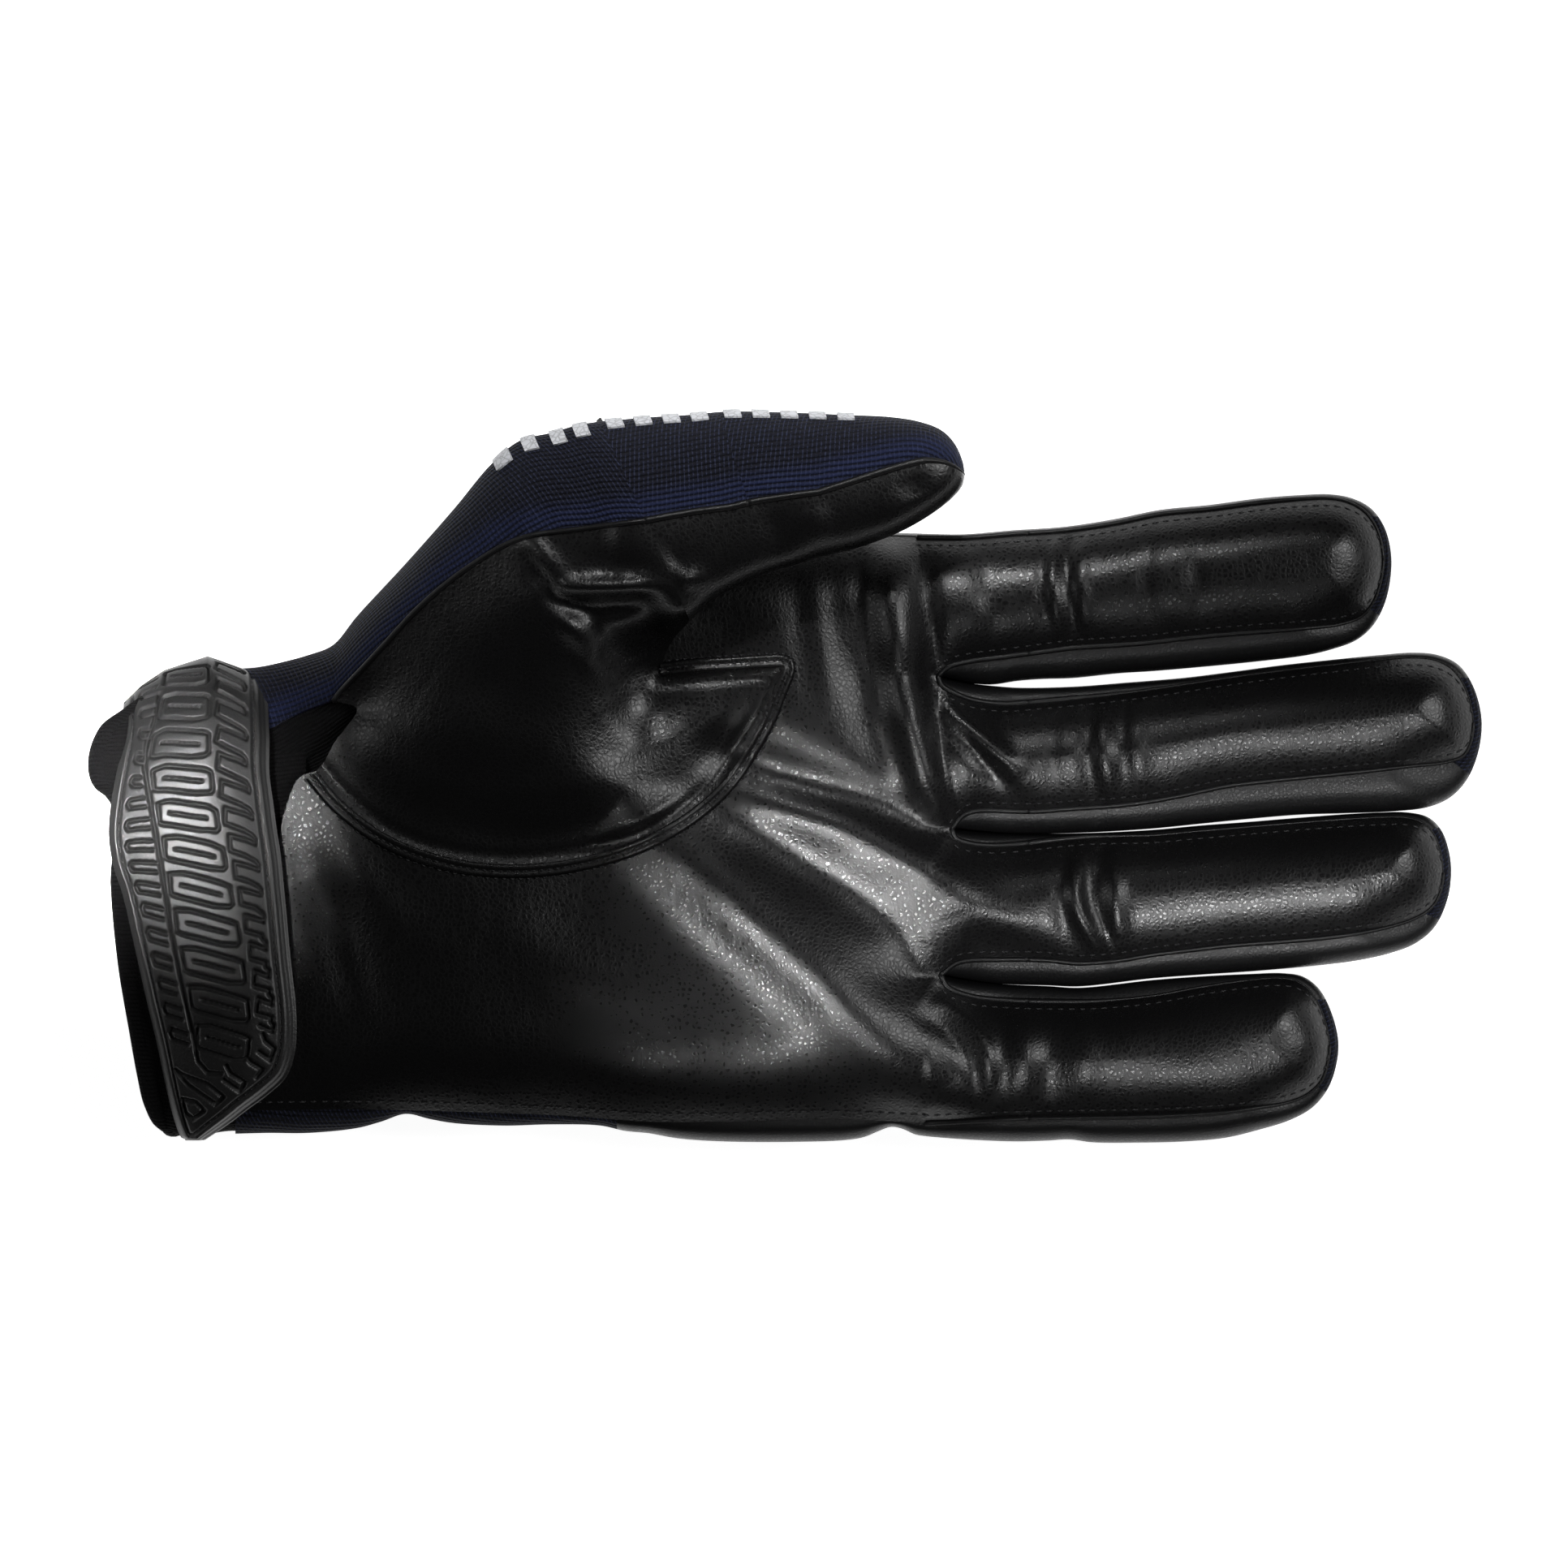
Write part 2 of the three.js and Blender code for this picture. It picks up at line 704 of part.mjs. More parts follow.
// The cuff's section, grown outwards by what lies on it at each side
function cuffSection(x, radialGrowth, ulnarGrowth, topGrowth) {
  const radial = cuffRadialY + radialGrowth;
  const ulnar = cuffUlnarY - ulnarGrowth;
  return {
    x,
    y: (radial + ulnar) / 2,
    z: (wristTopZ + bottomZ) / 2,
    halfWidth: (radial - ulnar) / 2,
    halfHeight: wristHeight / 2 + topGrowth,
    squareness: handSquareness,
  };
}

// The mouth is rounded: it lies furthest out near the thumb's side.
function mouthEdgeX(y) {
  if (y > mouthCentreY) {
    const share = (y - mouthCentreY) / mouthCentreInset;
    return mouthX + mouthRadialSlant * share ** 2;
  }
  const share = (mouthCentreY - y) / (mouthCentreY - cuffUlnarY);
  return mouthX + mouthUlnarSlant * share ** 2;
}

// A ring of the cuff between two distances from the edge of its mouth
function cuffRing(from, toPlace, growth, wall, rowCount) {
  const section = cuffSection(0, growth, growth, growth);
  const bareSection = cuffSection(0, 0, 0, 0);
  const angles = steps(ringColumns, 0, 2 * Math.PI).slice(0, -1);
  const rowsAt = (inset) =>
    steps(rowCount).map((share) =>
      angles.map((angle) => {
        const point = sectionPoint(section, angle, inset);
        const start = mouthEdgeX(sectionPoint(bareSection, angle, 0).y) + from;
        point.x = mix(start, toPlace(start), share);
        return point;
      }),
    );
  return wallBetween(rowsAt(0), rowsAt(wall), true);
}

const cuffEndX = wristX - seamGap / 2;
const bindingGrowth = (bindingWall - cuffWall) / 2;
const bindingEnd = (start) => start + bindingWidth;
addMesh("cuff_binding", cuffRing(0, bindingEnd, bindingGrowth, bindingWall, 1), finishes.elastic);
addMesh("cuff_band", cuffRing(bindingWidth + seamGap, () => cuffEndX, 0, cuffWall, 3), finishes.elastic);

// Closing strap

// Sheets that lie over the cuff: rows across the strap, each at one angle of the cuff's
// section, from a left to a right edge
function strapSheet(angles, edgesOf, growth, ulnarGrowth, topGrowth, wall) {
  const rowsAt = (inset) =>
    angles.map((angle) => {
      const outline = sectionPoint(cuffSection(0, growth, ulnarGrowth, topGrowth), angle, inset);
      const place = sectionPoint(cuffSection(0, growth, ulnarGrowth, topGrowth), angle, 0);
      const [left, right] = edgesOf(place.y);
      return steps(strapColumns, left, right).map((x) => new THREE.Vector3(x, outline.y, outline.z));
    });
  return wallBetween(rowsAt(0), rowsAt(wall));
}

const strapColumns = 4;
const strapLeftX = wristX - cuffLength + strapLeftInset;
const layerRise = 3 * seamGap + 2 * tapeThickness;
const strapTopGrowth = layerRise + strapThickness;
const strapRadialGrowth = seamGap + strapThickness;
const strapEndY = ulnarY - strapTipOverhang;
const strapFoldZ = (wristTopZ + bottomZ) / 2;

// The strap leans towards the fingers on its way down to its tip.
function strapEdges(y) {
  const lean = (cuffRadialY - y) / (cuffRadialY - strapEndY);
  const left = strapLeftX + strapTipSlant * lean;
  const past = Math.max(0, 1 - (y - strapEndY) / strapPointLength);
  return [left, left + mix(strapWidth, strapTipWidth, past)];
}

function strapEndAngle() {
  const section = cuffSection(0, strapRadialGrowth, strapTopGrowth, strapTopGrowth);
  const share = (section.y - strapEndY) / section.halfWidth;
  return Math.PI - Math.acos(share ** (section.squareness / 2));
}

const strapRows = 14;
const anchorRows = 6;
const foldAngle = hingeGap / 2 / (wristHeight / 2);
const foldPower = handSquareness / 2;
const foldStartAngle = foldAngle ** foldPower;
const anchorEndShare = 0.85;
const flapAngles = steps(strapRows, foldStartAngle, strapEndAngle());
const anchorAngles = steps(anchorRows, -foldStartAngle, -anchorEndShare * Math.PI / 2);
const strapGeometry = strapSheet(
  flapAngles, strapEdges, strapRadialGrowth, strapTopGrowth, strapTopGrowth, strapThickness,
);
const anchorGrowth = seamGap + anchorThickness;
const anchorGeometry = strapSheet(
  anchorAngles, strapEdges, anchorGrowth, anchorGrowth, anchorGrowth, anchorThickness,
);
addMesh("strap_cover", strapGeometry, finishes.rubber);
addMesh("strap_anchor", anchorGeometry, finishes.rubber);

// Hook and loop tapes between the strap and the cuff
function tapeAngles(growth) {
  const section = cuffSection(0, growth, growth, growth);
  const angleAt = (y) => {
    const share = (y - section.y) / section.halfWidth;
    return Math.acos(Math.sign(share) * Math.abs(share) ** foldPower);
  };
  return steps(anchorRows, angleAt(cuffRadialY - tapeInset), angleAt(cuffRadialY - tapeInset - tapeLength));
}

function tapeEdges(y) {
  const [left, right] = strapEdges(y);
  return [left + tapeMargin, right - tapeMargin];
}

function tapeGeometry(growth) {
  return strapSheet(tapeAngles(growth), tapeEdges, growth, growth, growth, tapeThickness);
}

const loopGrowth = seamGap + tapeThickness;
const hookGrowth = loopGrowth + loopGrowth;
addMesh("loop_tape", tapeGeometry(loopGrowth), finishes.tape);
addMesh("hook_tape", tapeGeometry(hookGrowth), finishes.tape);

export default glove;
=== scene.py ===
# A floorball goalie glove, palm up: leather front, knit back and sides, ribbed cuff and
# a moulded rubber strap. Shapes are worked out in millimetres and made in metres.
import math

import bpy
import numpy as np
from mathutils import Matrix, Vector, geometry


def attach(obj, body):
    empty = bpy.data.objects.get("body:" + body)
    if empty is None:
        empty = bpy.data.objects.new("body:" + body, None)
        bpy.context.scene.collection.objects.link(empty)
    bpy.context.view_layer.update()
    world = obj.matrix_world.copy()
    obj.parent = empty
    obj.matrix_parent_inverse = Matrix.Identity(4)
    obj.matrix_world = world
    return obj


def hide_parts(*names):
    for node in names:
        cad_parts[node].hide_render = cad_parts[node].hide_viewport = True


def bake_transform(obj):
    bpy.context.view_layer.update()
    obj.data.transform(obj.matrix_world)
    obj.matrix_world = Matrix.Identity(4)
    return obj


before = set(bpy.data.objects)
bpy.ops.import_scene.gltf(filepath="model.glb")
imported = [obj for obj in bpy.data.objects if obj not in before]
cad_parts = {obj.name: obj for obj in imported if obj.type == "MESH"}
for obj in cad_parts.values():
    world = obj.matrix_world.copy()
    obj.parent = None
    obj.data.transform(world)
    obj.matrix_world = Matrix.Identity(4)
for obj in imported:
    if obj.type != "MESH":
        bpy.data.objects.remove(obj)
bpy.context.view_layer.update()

METRE = 0.001
SQUARE_CENTIMETRE = 1e-4
PIXEL = 0.14
FRAME_PIXELS = 1932
CENTRE_X, CENTRE_Y = 966.5, 960.5

WALL = 1.0
BOTTOM_Z = 3.3
MIDDLE_Z = 12.65
FINGER_TOP_Z = 22.0
PALM_TOP_Z = 24.6
WRIST_FALL = 3.2
HOLLOW_DEPTH = 1.7
BASE_CUT_X = 42.0
FINGER_CURVE = 2.5
CORD_SIDES = 8


# Lines and distances


def at(points):
    """Places measured on the photograph, in its pixels, as millimetres."""
    p = np.array(points, float)
    return np.column_stack([(p[:, 0] - CENTRE_X) * PIXEL, (CENTRE_Y - p[:, 1]) * PIXEL])


def arc_lengths(line):
    return np.concatenate([[0], np.cumsum(np.linalg.norm(np.diff(line, axis=0), axis=1))])


def resample(line, count=None, step=None, stops=None):
    """The line with evenly spaced points, or with points at given shares of its length."""
    line = np.asarray(line, float)
    along = arc_lengths(line)
    if stops is None:
        count = count or max(2, int(round(along[-1] / step)) + 1)
        stops = np.linspace(0, 1, count)
    places = np.asarray(stops) * along[-1]
    return np.column_stack([np.interp(places, along, line[:, i]) for i in range(line.shape[1])])


def smooth_line(points, step=0.4):
    """A smooth line through the points, as a Catmull-Rom spline."""
    p = np.asarray(points, float)
    first, last = 2 * p[0] - p[1], 2 * p[-1] - p[-2]
    p = np.vstack([first, p, last])
    parts = []
    for a, b, c, d in zip(p[:-3], p[1:-2], p[2:-1], p[3:]):
        ta = 0
        tb = ta + math.sqrt(np.linalg.norm(b - a)) + 1e-9
        tc = tb + math.sqrt(np.linalg.norm(c - b)) + 1e-9
        td = tc + math.sqrt(np.linalg.norm(d - c)) + 1e-9
        t = np.linspace(tb, tc, max(3, int(np.linalg.norm(c - b) / step) + 2))[:, None]
        ab = (tb - t) / (tb - ta) * a + (t - ta) / (tb - ta) * b
        bc = (tc - t) / (tc - tb) * b + (t - tb) / (tc - tb) * c
        cd = (td - t) / (td - tc) * c + (t - tc) / (td - tc) * d
        abc = (tc - t) / (tc - ta) * ab + (t - ta) / (tc - ta) * bc
        bcd = (td - t) / (td - tb) * bc + (t - tb) / (td - tb) * cd
        parts.append(((tc - t) / (tc - tb) * abc + (t - tb) / (tc - tb) * bcd)[:-1])
    return resample(np.vstack(parts + [p[-2:-1]]), step=step)


def traced(points):
    """A smooth line through places measured on the photograph."""
    return smooth_line(at(points))


def unit(vectors):
    """The vectors at length one."""
    return vectors / np.maximum(np.linalg.norm(vectors, axis=1, keepdims=True), 1e-12)


def turns(count):
    """Angles round a full turn."""
    return np.linspace(0, 2 * math.pi, count, endpoint=False)


def squarish(wave, power):
    """A sine or cosine that turns an ellipse into a rounded rectangle."""
    return np.sign(wave) * np.abs(wave) ** power


def ease(value, start, end):
    """0 up to the start, 1 from the end on, and a smooth rise between them."""
    t = np.clip((np.asarray(value, float) - start) / (end - start), 0, 1)
    return t * t * (3 - 2 * t)


def mix(a, b, t):
    return a + (b - a) * t


def nearest(places, line, values=None):
    """Distance from each place to a line, and the line's values at the nearest points."""
    places = np.asarray(places, float)
    a, b = line[:-1, :2], line[1:, :2]
    ab = b - a
    length2 = np.maximum((ab**2).sum(1), 1e-12)
    best = np.full(len(places), np.inf)
    found = np.zeros((len(places), 0 if values is None else values.shape[1]))
    for start in range(0, len(places), 2000):
        part = places[start : start + 2000]
        t = ((part[:, None, :] - a[None]) * ab[None]).sum(2) / length2
        t = np.clip(t, 0, 1)
        gap = part[:, None, :] - (a[None] + t[..., None] * ab[None])
        d2 = (gap**2).sum(2)
        k = d2.argmin(1)
        rows = np.arange(len(part))
        best[start : start + 2000] = np.sqrt(d2[rows, k])
        if values is not None:
            share = t[rows, k][:, None]
            found[start : start + 2000] = values[k] * (1 - share) + values[k + 1] * share
    return (best, found) if values is not None else best


# Meshes


def grid_faces(rows, columns, looped=False):
    """The faces between rows of points. looped closes each row."""
    spans = columns if looped else columns - 1
    r, c = np.meshgrid(np.arange(rows - 1), np.arange(spans), indexing="ij")
    a = r * columns + c
    b = r * columns + (c + 1) % columns
    return np.stack([a, b, b + columns, a + columns], -1).reshape(-1, 4)


def point_normals(points, faces):
    normals = np.zeros_like(points)
    first, second, third = (points[faces[:, k]] for k in range(3))
    diagonal = np.cross(third - first, points[faces[:, -1]] - second)
    if faces.shape[1] == 3:
        diagonal = np.cross(second - first, third - first)
    for corner in range(faces.shape[1]):
        np.add.at(normals, faces[:, corner], diagonal)
    return unit(normals)


def border_edges(faces):
    """The edges that belong to one face, in that face's direction."""
    starts = faces.reshape(-1)
    ends = np.roll(faces, -1, axis=1).reshape(-1)
    lookup = set(zip(starts.tolist(), ends.tolist()))
    single = [(a, b) for a, b in lookup if a != b and (b, a) not in lookup]
    return np.array(single, int).reshape(-1, 2)


def add_mesh(name, points, faces, finish, uvs=None, sharp=()):
    mesh = bpy.data.meshes.new(name)
    mesh.from_pydata((np.asarray(points, float) * METRE).tolist(), [], [list(f) for f in faces])
    mesh.polygons.foreach_set("use_smooth", [True] * len(mesh.polygons))
    if uvs is not None:
        layer = mesh.uv_layers.new(name="surface")
        corners = np.zeros(len(mesh.loops), int)
        mesh.loops.foreach_get("vertex_index", corners)
        layer.data.foreach_set("uv", (np.asarray(uvs, float)[corners] * METRE).reshape(-1))
    if len(sharp):
        wanted = {(min(a, b), max(a, b)) for a, b in sharp}
        ends = np.zeros(len(mesh.edges) * 2, int)
        mesh.edges.foreach_get("vertices", ends)
        flags = [(min(a, b), max(a, b)) in wanted for a, b in ends.reshape(-1, 2).tolist()]
        mesh.attributes.new("sharp_edge", "BOOLEAN", "EDGE").data.foreach_set("value", flags)
    mesh.materials.append(finish)
    mesh.validate()
    mesh.update()
    piece = bpy.data.objects.new(name, mesh)
    bpy.context.scene.collection.objects.link(piece)
    return piece


def shell(name, points, faces, wall, finish, outward, uvs=None, inner=None):
    """A closed wall whose outer side is the given surface. outward is a point's rough
    direction of the outside, to tell which way the surface faces. inner is the wall's inner
    side, where it doesn't follow the outer one."""
    points = np.asarray(points, float)
    faces = np.asarray(faces, int)
    keep = (faces != np.roll(faces, -1, axis=1)).all(1)
    faces = faces[keep]
    normals = point_normals(points, faces)
    if (normals * np.asarray(outward, float)).sum() < 0:
        faces, normals = faces[:, ::-1], -normals
    count = len(points)
    edges = border_edges(faces)
    rim = np.column_stack([edges[:, 1], edges[:, 0], edges[:, 0] + count, edges[:, 1] + count])
    everything = [list(f) for part in (faces, faces[:, ::-1] + count, rim) for f in part]
    if inner is None:
        inner = points - normals * wall
    both = np.vstack([points, inner])
    sharp = np.vstack([edges, edges + count])
    both_uvs = None if uvs is None else np.vstack([uvs, uvs])
    return add_mesh(name, both, everything, finish, both_uvs, sharp.tolist())


def sheet_grid(name, rows, wall, finish, outward, looped=False, inner=None):
    """A wall over rows of points, with its UV map measured along its surface."""
    rows = np.asarray(rows, float)
    r, c = rows.shape[:2]
    across = np.zeros((r, c))
    across[:, 1:] = np.cumsum(np.linalg.norm(np.diff(rows, axis=1), axis=2), axis=1)
    across -= across[:, c // 2 : c // 2 + 1]
    along = np.zeros((r, c))
    along[1:] = np.cumsum(np.linalg.norm(np.diff(rows, axis=0), axis=2), axis=0)
    uvs = np.stack([along, across], -1).reshape(-1, 2)
    inner = None if inner is None else inner.reshape(-1, 3)
    return shell(name, rows.reshape(-1, 3), grid_faces(r, c, looped), wall, finish, outward, uvs, inner)


def tube(name, line, radius, finish):
    """A round cord along a line, with closed ends. radius is one number or one a point."""
    line = np.asarray(line, float)
    radii = np.broadcast_to(np.asarray(radius, float), (len(line),))
    tangent = unit(np.gradient(line, axis=0))
    side = unit(np.cross(tangent, [0, 0, 1]))
    up = np.cross(side, tangent)
    sides = CORD_SIDES
    angles = turns(sides)
    cos, sin = (wave(angles)[None, :, None] for wave in (np.cos, np.sin))
    rings = line[:, None] + (cos * side[:, None] + sin * up[:, None]) * radii[:, None, None]
    n = len(line)
    caps = [line[0] - tangent[0] * radii[0] / 2, line[-1] + tangent[-1] * radii[-1] / 2]
    points = np.vstack([rings.reshape(-1, 3), *caps])
    faces = [list(f) for f in grid_faces(n, sides, True)]
    for k in range(sides):
        after = (k + 1) % sides
        faces.append([n * sides, after, k])
        faces.append([n * sides + 1, (n - 1) * sides + k, (n - 1) * sides + after])
    sample = points[faces[0]]
    normal = np.cross(sample[1] - sample[0], sample[2] - sample[0])
    if normal @ (sample[0] - line[0]) < 0:
        faces = [f[::-1] for f in faces]
    return add_mesh(name, points, faces, finish)


def joined(name, pieces):
    """Several pieces as one mesh."""
    bpy.ops.object.select_all(action="DESELECT")
    for piece in pieces:
        piece.select_set(True)
    bpy.context.view_layer.objects.active = pieces[0]
    bpy.ops.object.join()
    pieces[0].name = name
    pieces[0].data.name = name
    return pieces[0]


def region_mesh(outline, step):
    """A triangle mesh that fills an outline in plan, keeping the outline's own points."""
    outline = np.asarray(outline, float)
    low, high = outline.min(0), outline.max(0)
    xs = np.arange(low[0] + step / 2, high[0], step)
    ys = np.arange(low[1] + step / 2, high[1], step * 0.87)
    gx, gy = np.meshgrid(xs, ys)
    gx[1::2] += step / 2
    inner = np.column_stack([gx.ravel(), gy.ravel()])
    inner = inner[inside(inner, outline)]
    closed = np.vstack([outline, outline[:1]])
    inner = inner[nearest(inner, closed) > step * 0.45]
    points = np.vstack([outline, inner])
    n = len(outline)
    edges = [(i, (i + 1) % n) for i in range(n)]
    cut = geometry.delaunay_2d_cdt([Vector(p) for p in points], edges, [], 0, 1e-6)
    verts = np.array([tuple(v) for v in cut[0]])
    faces = np.array([f for f in cut[2] if len(f) == 3], int)
    centres = verts[faces].mean(1)
    faces = faces[inside(centres, outline)]
    used = np.unique(faces)
    lookup = np.full(len(verts), -1)
    lookup[used] = np.arange(len(used))
    return verts[used], lookup[faces]


def inside(places, outline):
    """Whether each place in plan lies inside an outline."""
    x, y = places[:, 0], places[:, 1]
    result = np.zeros(len(places), bool)
    for (x1, y1), (x2, y2) in zip(outline, np.roll(outline, -1, axis=0)):
        if y1 == y2:
            continue
        crossing = (y1 > y) != (y2 > y)
        result ^= crossing & (x < (x2 - x1) * (y - y1) / (y2 - y1) + x1)
    return result


# Finishes


class Amount:
    """A shader value that can be written in sums."""

    def __init__(self, finish, socket):
        self.finish, self.socket = finish, socket

    def worked(self, operation, *values):
        node = self.finish.node("ShaderNodeMath", {"operation": operation}, dict(enumerate(values)))
        return Amount(self.finish, node.outputs[0])

    def __add__(self, other):
        return self.worked("ADD", self, other)

    def __sub__(self, other):
        return self.worked("SUBTRACT", self, other)

    def __rsub__(self, other):
        return self.worked("SUBTRACT", other, self)

    def __mul__(self, other):
        return self.worked("MULTIPLY", self, other)

    __radd__, __rmul__ = __add__, __mul__

    def sine(self):
        return self.worked("SINE", self)

    def size(self):
        return self.worked("ABSOLUTE", self)

    def least(self, other):
        return self.worked("MINIMUM", self, other)

    def most(self, other):
        return self.worked("MAXIMUM", self, other)

    def above(self, other):
        return self.worked("GREATER_THAN", self, other)


def add_node(tree, kind, settings=None, inputs=None):
    """A node with its settings, and its inputs set to values or linked to sockets."""
    node = tree.nodes.new(kind)
    for key, value in (settings or {}).items():
        setattr(node, key, value)
    for key, value in (inputs or {}).items():
        if isinstance(value, Amount):
            value = value.socket
        if isinstance(value, bpy.types.NodeSocket):
            tree.links.new(value, node.inputs[key])
        else:
            node.inputs[key].default_value = value
    return node


class Finish:
    """A material built up node by node."""

    def __init__(self, name):
        self.material = bpy.data.materials.new(name)
        self.material.use_nodes = True
        self.tree = self.material.node_tree
        self.tree.nodes.clear()

    def node(self, kind, settings=None, inputs=None):
        return add_node(self.tree, kind, settings, inputs)

    def places(self, scale=(1, 1, 1), surface=False):
        """Object coordinates, or the piece's own surface map, in scaled metres."""
        source = self.node("ShaderNodeTexCoord").outputs["UV" if surface else "Object"]
        mapping = self.node("ShaderNodeMapping", {}, {"Vector": source, "Scale": scale})
        return mapping.outputs[0]

    def noise(self, vector, scale, detail, roughness=0.55):
        inputs = {"Vector": vector, "Scale": scale, "Detail": detail, "Roughness": roughness}
        return Amount(self, self.node("ShaderNodeTexNoise", {}, inputs).outputs[0])

    def cells(self, vector, scale, feature="DISTANCE_TO_EDGE"):
        inputs = {"Vector": vector, "Scale": scale}
        texture = self.node("ShaderNodeTexVoronoi", {"feature": feature}, inputs)
        return Amount(self, texture.outputs["Distance"])

    def axes(self, vector):
        parts = self.node("ShaderNodeSeparateXYZ", {}, {0: vector})
        return [Amount(self, parts.outputs[i]) for i in range(3)]

    def blend(self, share, first, second):
        inputs = {0: share, 6: (*first, 1) if isinstance(first, tuple) else first}
        inputs[7] = (*second, 1) if isinstance(second, tuple) else second
        return self.node("ShaderNodeMix", {"data_type": "RGBA"}, inputs).outputs[2]

    def bump(self, height, strength, distance, normal=None):
        inputs = {"Height": height, "Strength": strength, "Distance": distance}
        if normal is not None:
            inputs["Normal"] = normal
        return self.node("ShaderNodeBump", {}, inputs).outputs[0]

    def surface(self, color, roughness, normal=None, **values):
        inputs = {"Base Color": color, "Roughness": roughness}
        if normal is not None:
            inputs["Normal"] = normal
        inputs.update({key.replace("_", " "): value for key, value in values.items()})
        shader = self.node("ShaderNodeBsdfPrincipled", {}, inputs)
        self.node("ShaderNodeOutputMaterial", {}, {"Surface": shader.outputs[0]})
        return self.material


def leather_finish(name, dark, light, gloss, grain_depth, grain_size, shine=0.5):
    """Dyed leather: pebbles with creases between them, fine cross wrinkles and wear."""
    f = Finish(name)
    places = f.places()
    stretched = f.places(scale=(2.4, 0.8, 1))
    warp = f.noise(places, 420, 2)
    pebbles = f.cells(places, 1000 / grain_size)
    grain = (pebbles * 3.2).least(1.0)
    fine = f.cells(places, 2300 / grain_size)
    wrinkles = f.noise(stretched, 260, 5, 0.65)
    wear = f.noise(places, 38, 4, 0.6)
    height = grain * 0.7 + (fine * 2.5).least(1.0) * 0.22 + warp * 0.4
    normal = f.bump(wrinkles, 0.3, 0.0003)
    normal = f.bump(height, 0.8, grain_depth * METRE, normal)
    creased = (1.0 - grain) * 0.14
    roughness = creased + gloss + (wear - 0.5) * 0.12
    color = f.blend(grain * 0.6 + wear * 0.4, dark, light)
    return f.surface(color, roughness, normal, Specular_IOR_Level=shine)


def knit_finish(name, dark, light, glint, rib, loop):
    """Ribbed knit: columns of small loops that follow the piece's own surface map, and a painted navy
    highlight along its leather seam.
    """
    f = Finish(name)
    along, across, _ = f.axes(f.places(surface=True))
    places = f.places()
    sway = f.noise(places, 90, 2) * 0.5
    column = across * (1000 / rib) + along * (120 / rib) + sway
    rows = along * (1000 / loop) + column * 0.5
    rib_height = (column * math.pi).sine().size()
    loops = (rows * (2 * math.pi)).sine() * 0.5 + 0.5
    fuzz = f.noise(places, 2600, 3, 0.7)
    height = rib_height * 0.75 + loops * rib_height * 0.35 + fuzz * 0.35
    normal = f.bump(height, 1.0, 0.00032)
    shade = f.blend(rib_height * (loops * 0.5 + 0.5), dark, light)
    speck = (fuzz * loops).above(0.46)
    # Painted highlight: a brighter navy stripe beside the leather seam, as strong as the seam attribute.
    seam = Amount(f, f.node("ShaderNodeAttribute", {"attribute_name": "seam"}).outputs["Fac"])
    color = f.blend(speck * 0.35, shade, glint)
    color = f.blend(seam * rib_height * (fuzz * 0.7 + 0.2), color, (0.018, 0.027, 0.088))
    return f.surface(color, fuzz * 0.1 + 0.72, normal, Specular_IOR_Level=0.2)


def elastic_finish(name, dark, light, rib):
    """Ribbed elastic, with its ribs across the piece's own surface map."""
    f = Finish(name)
    along, across, _ = f.axes(f.places(surface=True))
    places = f.places()
    fuzz = f.noise(places, 1900, 3, 0.7)
    ribs = (across * (math.pi * 1000 / rib) + fuzz * 0.5).sine().size()
    threads = (along * 7000 + across * 2500).sine().size()
    height = ribs + threads * 0.25 + fuzz * 0.3
    normal = f.bump(height, 1.0, 0.0003)
    color = f.blend(ribs * (fuzz * 0.6 + 0.5), dark, light)
    return f.surface(color, fuzz * 0.15 + 0.8, normal, Specular_IOR_Level=0.18)


def rubber_finish(name, dark, light, gloss):
    """Moulded rubber: a dull skin with faint flow marks, dust and rubbed spots, with painted shade in its
    grooves.
    """
    f = Finish(name)
    places = f.places()
    skin = f.noise(places, 1700, 4, 0.65)
    marks = f.noise(f.places(scale=(3, 0.6, 1)), 60, 4)
    dust = f.noise(places, 5200, 2).above(0.71)
    normal = f.bump(skin + marks * 0.8, 0.6, 0.00012)
    groove = Amount(f, f.node("ShaderNodeAttribute", {"attribute_name": "groove"}).outputs["Fac"])
    color = f.blend(marks, dark, light)
    color = f.blend(dust * 0.25, color, (0.16, 0.16, 0.16))
    # Painted shade: the grooves darkened nearly to black, by each point's share of a groove.
    color = f.blend(groove * 0.85, color, (0.0015, 0.0015, 0.0015))
    return f.surface(color, marks * 0.16 + groove * 0.3 + gloss, normal)


def tape_finish(name, color, hooked):
    """Hook-and-loop tape: stiff hooks in rows, or a tangle of loops."""
    f = Finish(name)
    places = f.places()
    tangle = f.noise(places, 2400, 4, 0.8)
    hooks = f.cells(places, 1100 if hooked else 2100, "F1")
    normal = f.bump(tangle + hooks * (2.0 if hooked else 0.6), 1.0, 0.0005)
    dark = tuple(0.4 * c for c in color)
    return f.surface(f.blend(tangle, dark, color), tangle * 0.1 + 0.8, normal)


def thread_finish(name, dark, light):
    """Twisted sewing thread."""
    f = Finish(name)
    x, y, z = f.axes(f.places())
    twist = (x * 9000 + y * 9000 + z * 7000).sine()
    fuzz = f.noise(f.places(), 3000, 2)
    normal = f.bump(twist + fuzz, 0.6, 0.0001)
    return f.surface(f.blend(twist * 0.5 + 0.5, dark, light), fuzz * 0.2 + 0.5, normal)


def print_finish(name, color):
    """Raised print, slightly cracked."""
    f = Finish(name)
    places = f.places()
    cracks = (f.cells(places, 900) * 8).least(1.0)
    worn = f.noise(places, 500, 3)
    normal = f.bump(cracks + worn, 0.5, 0.00015)
    shade = tuple(0.55 * c for c in color)
    return f.surface(f.blend(cracks * (worn * 0.4 + 0.7), shade, color), worn * 0.2 + 0.4, normal)


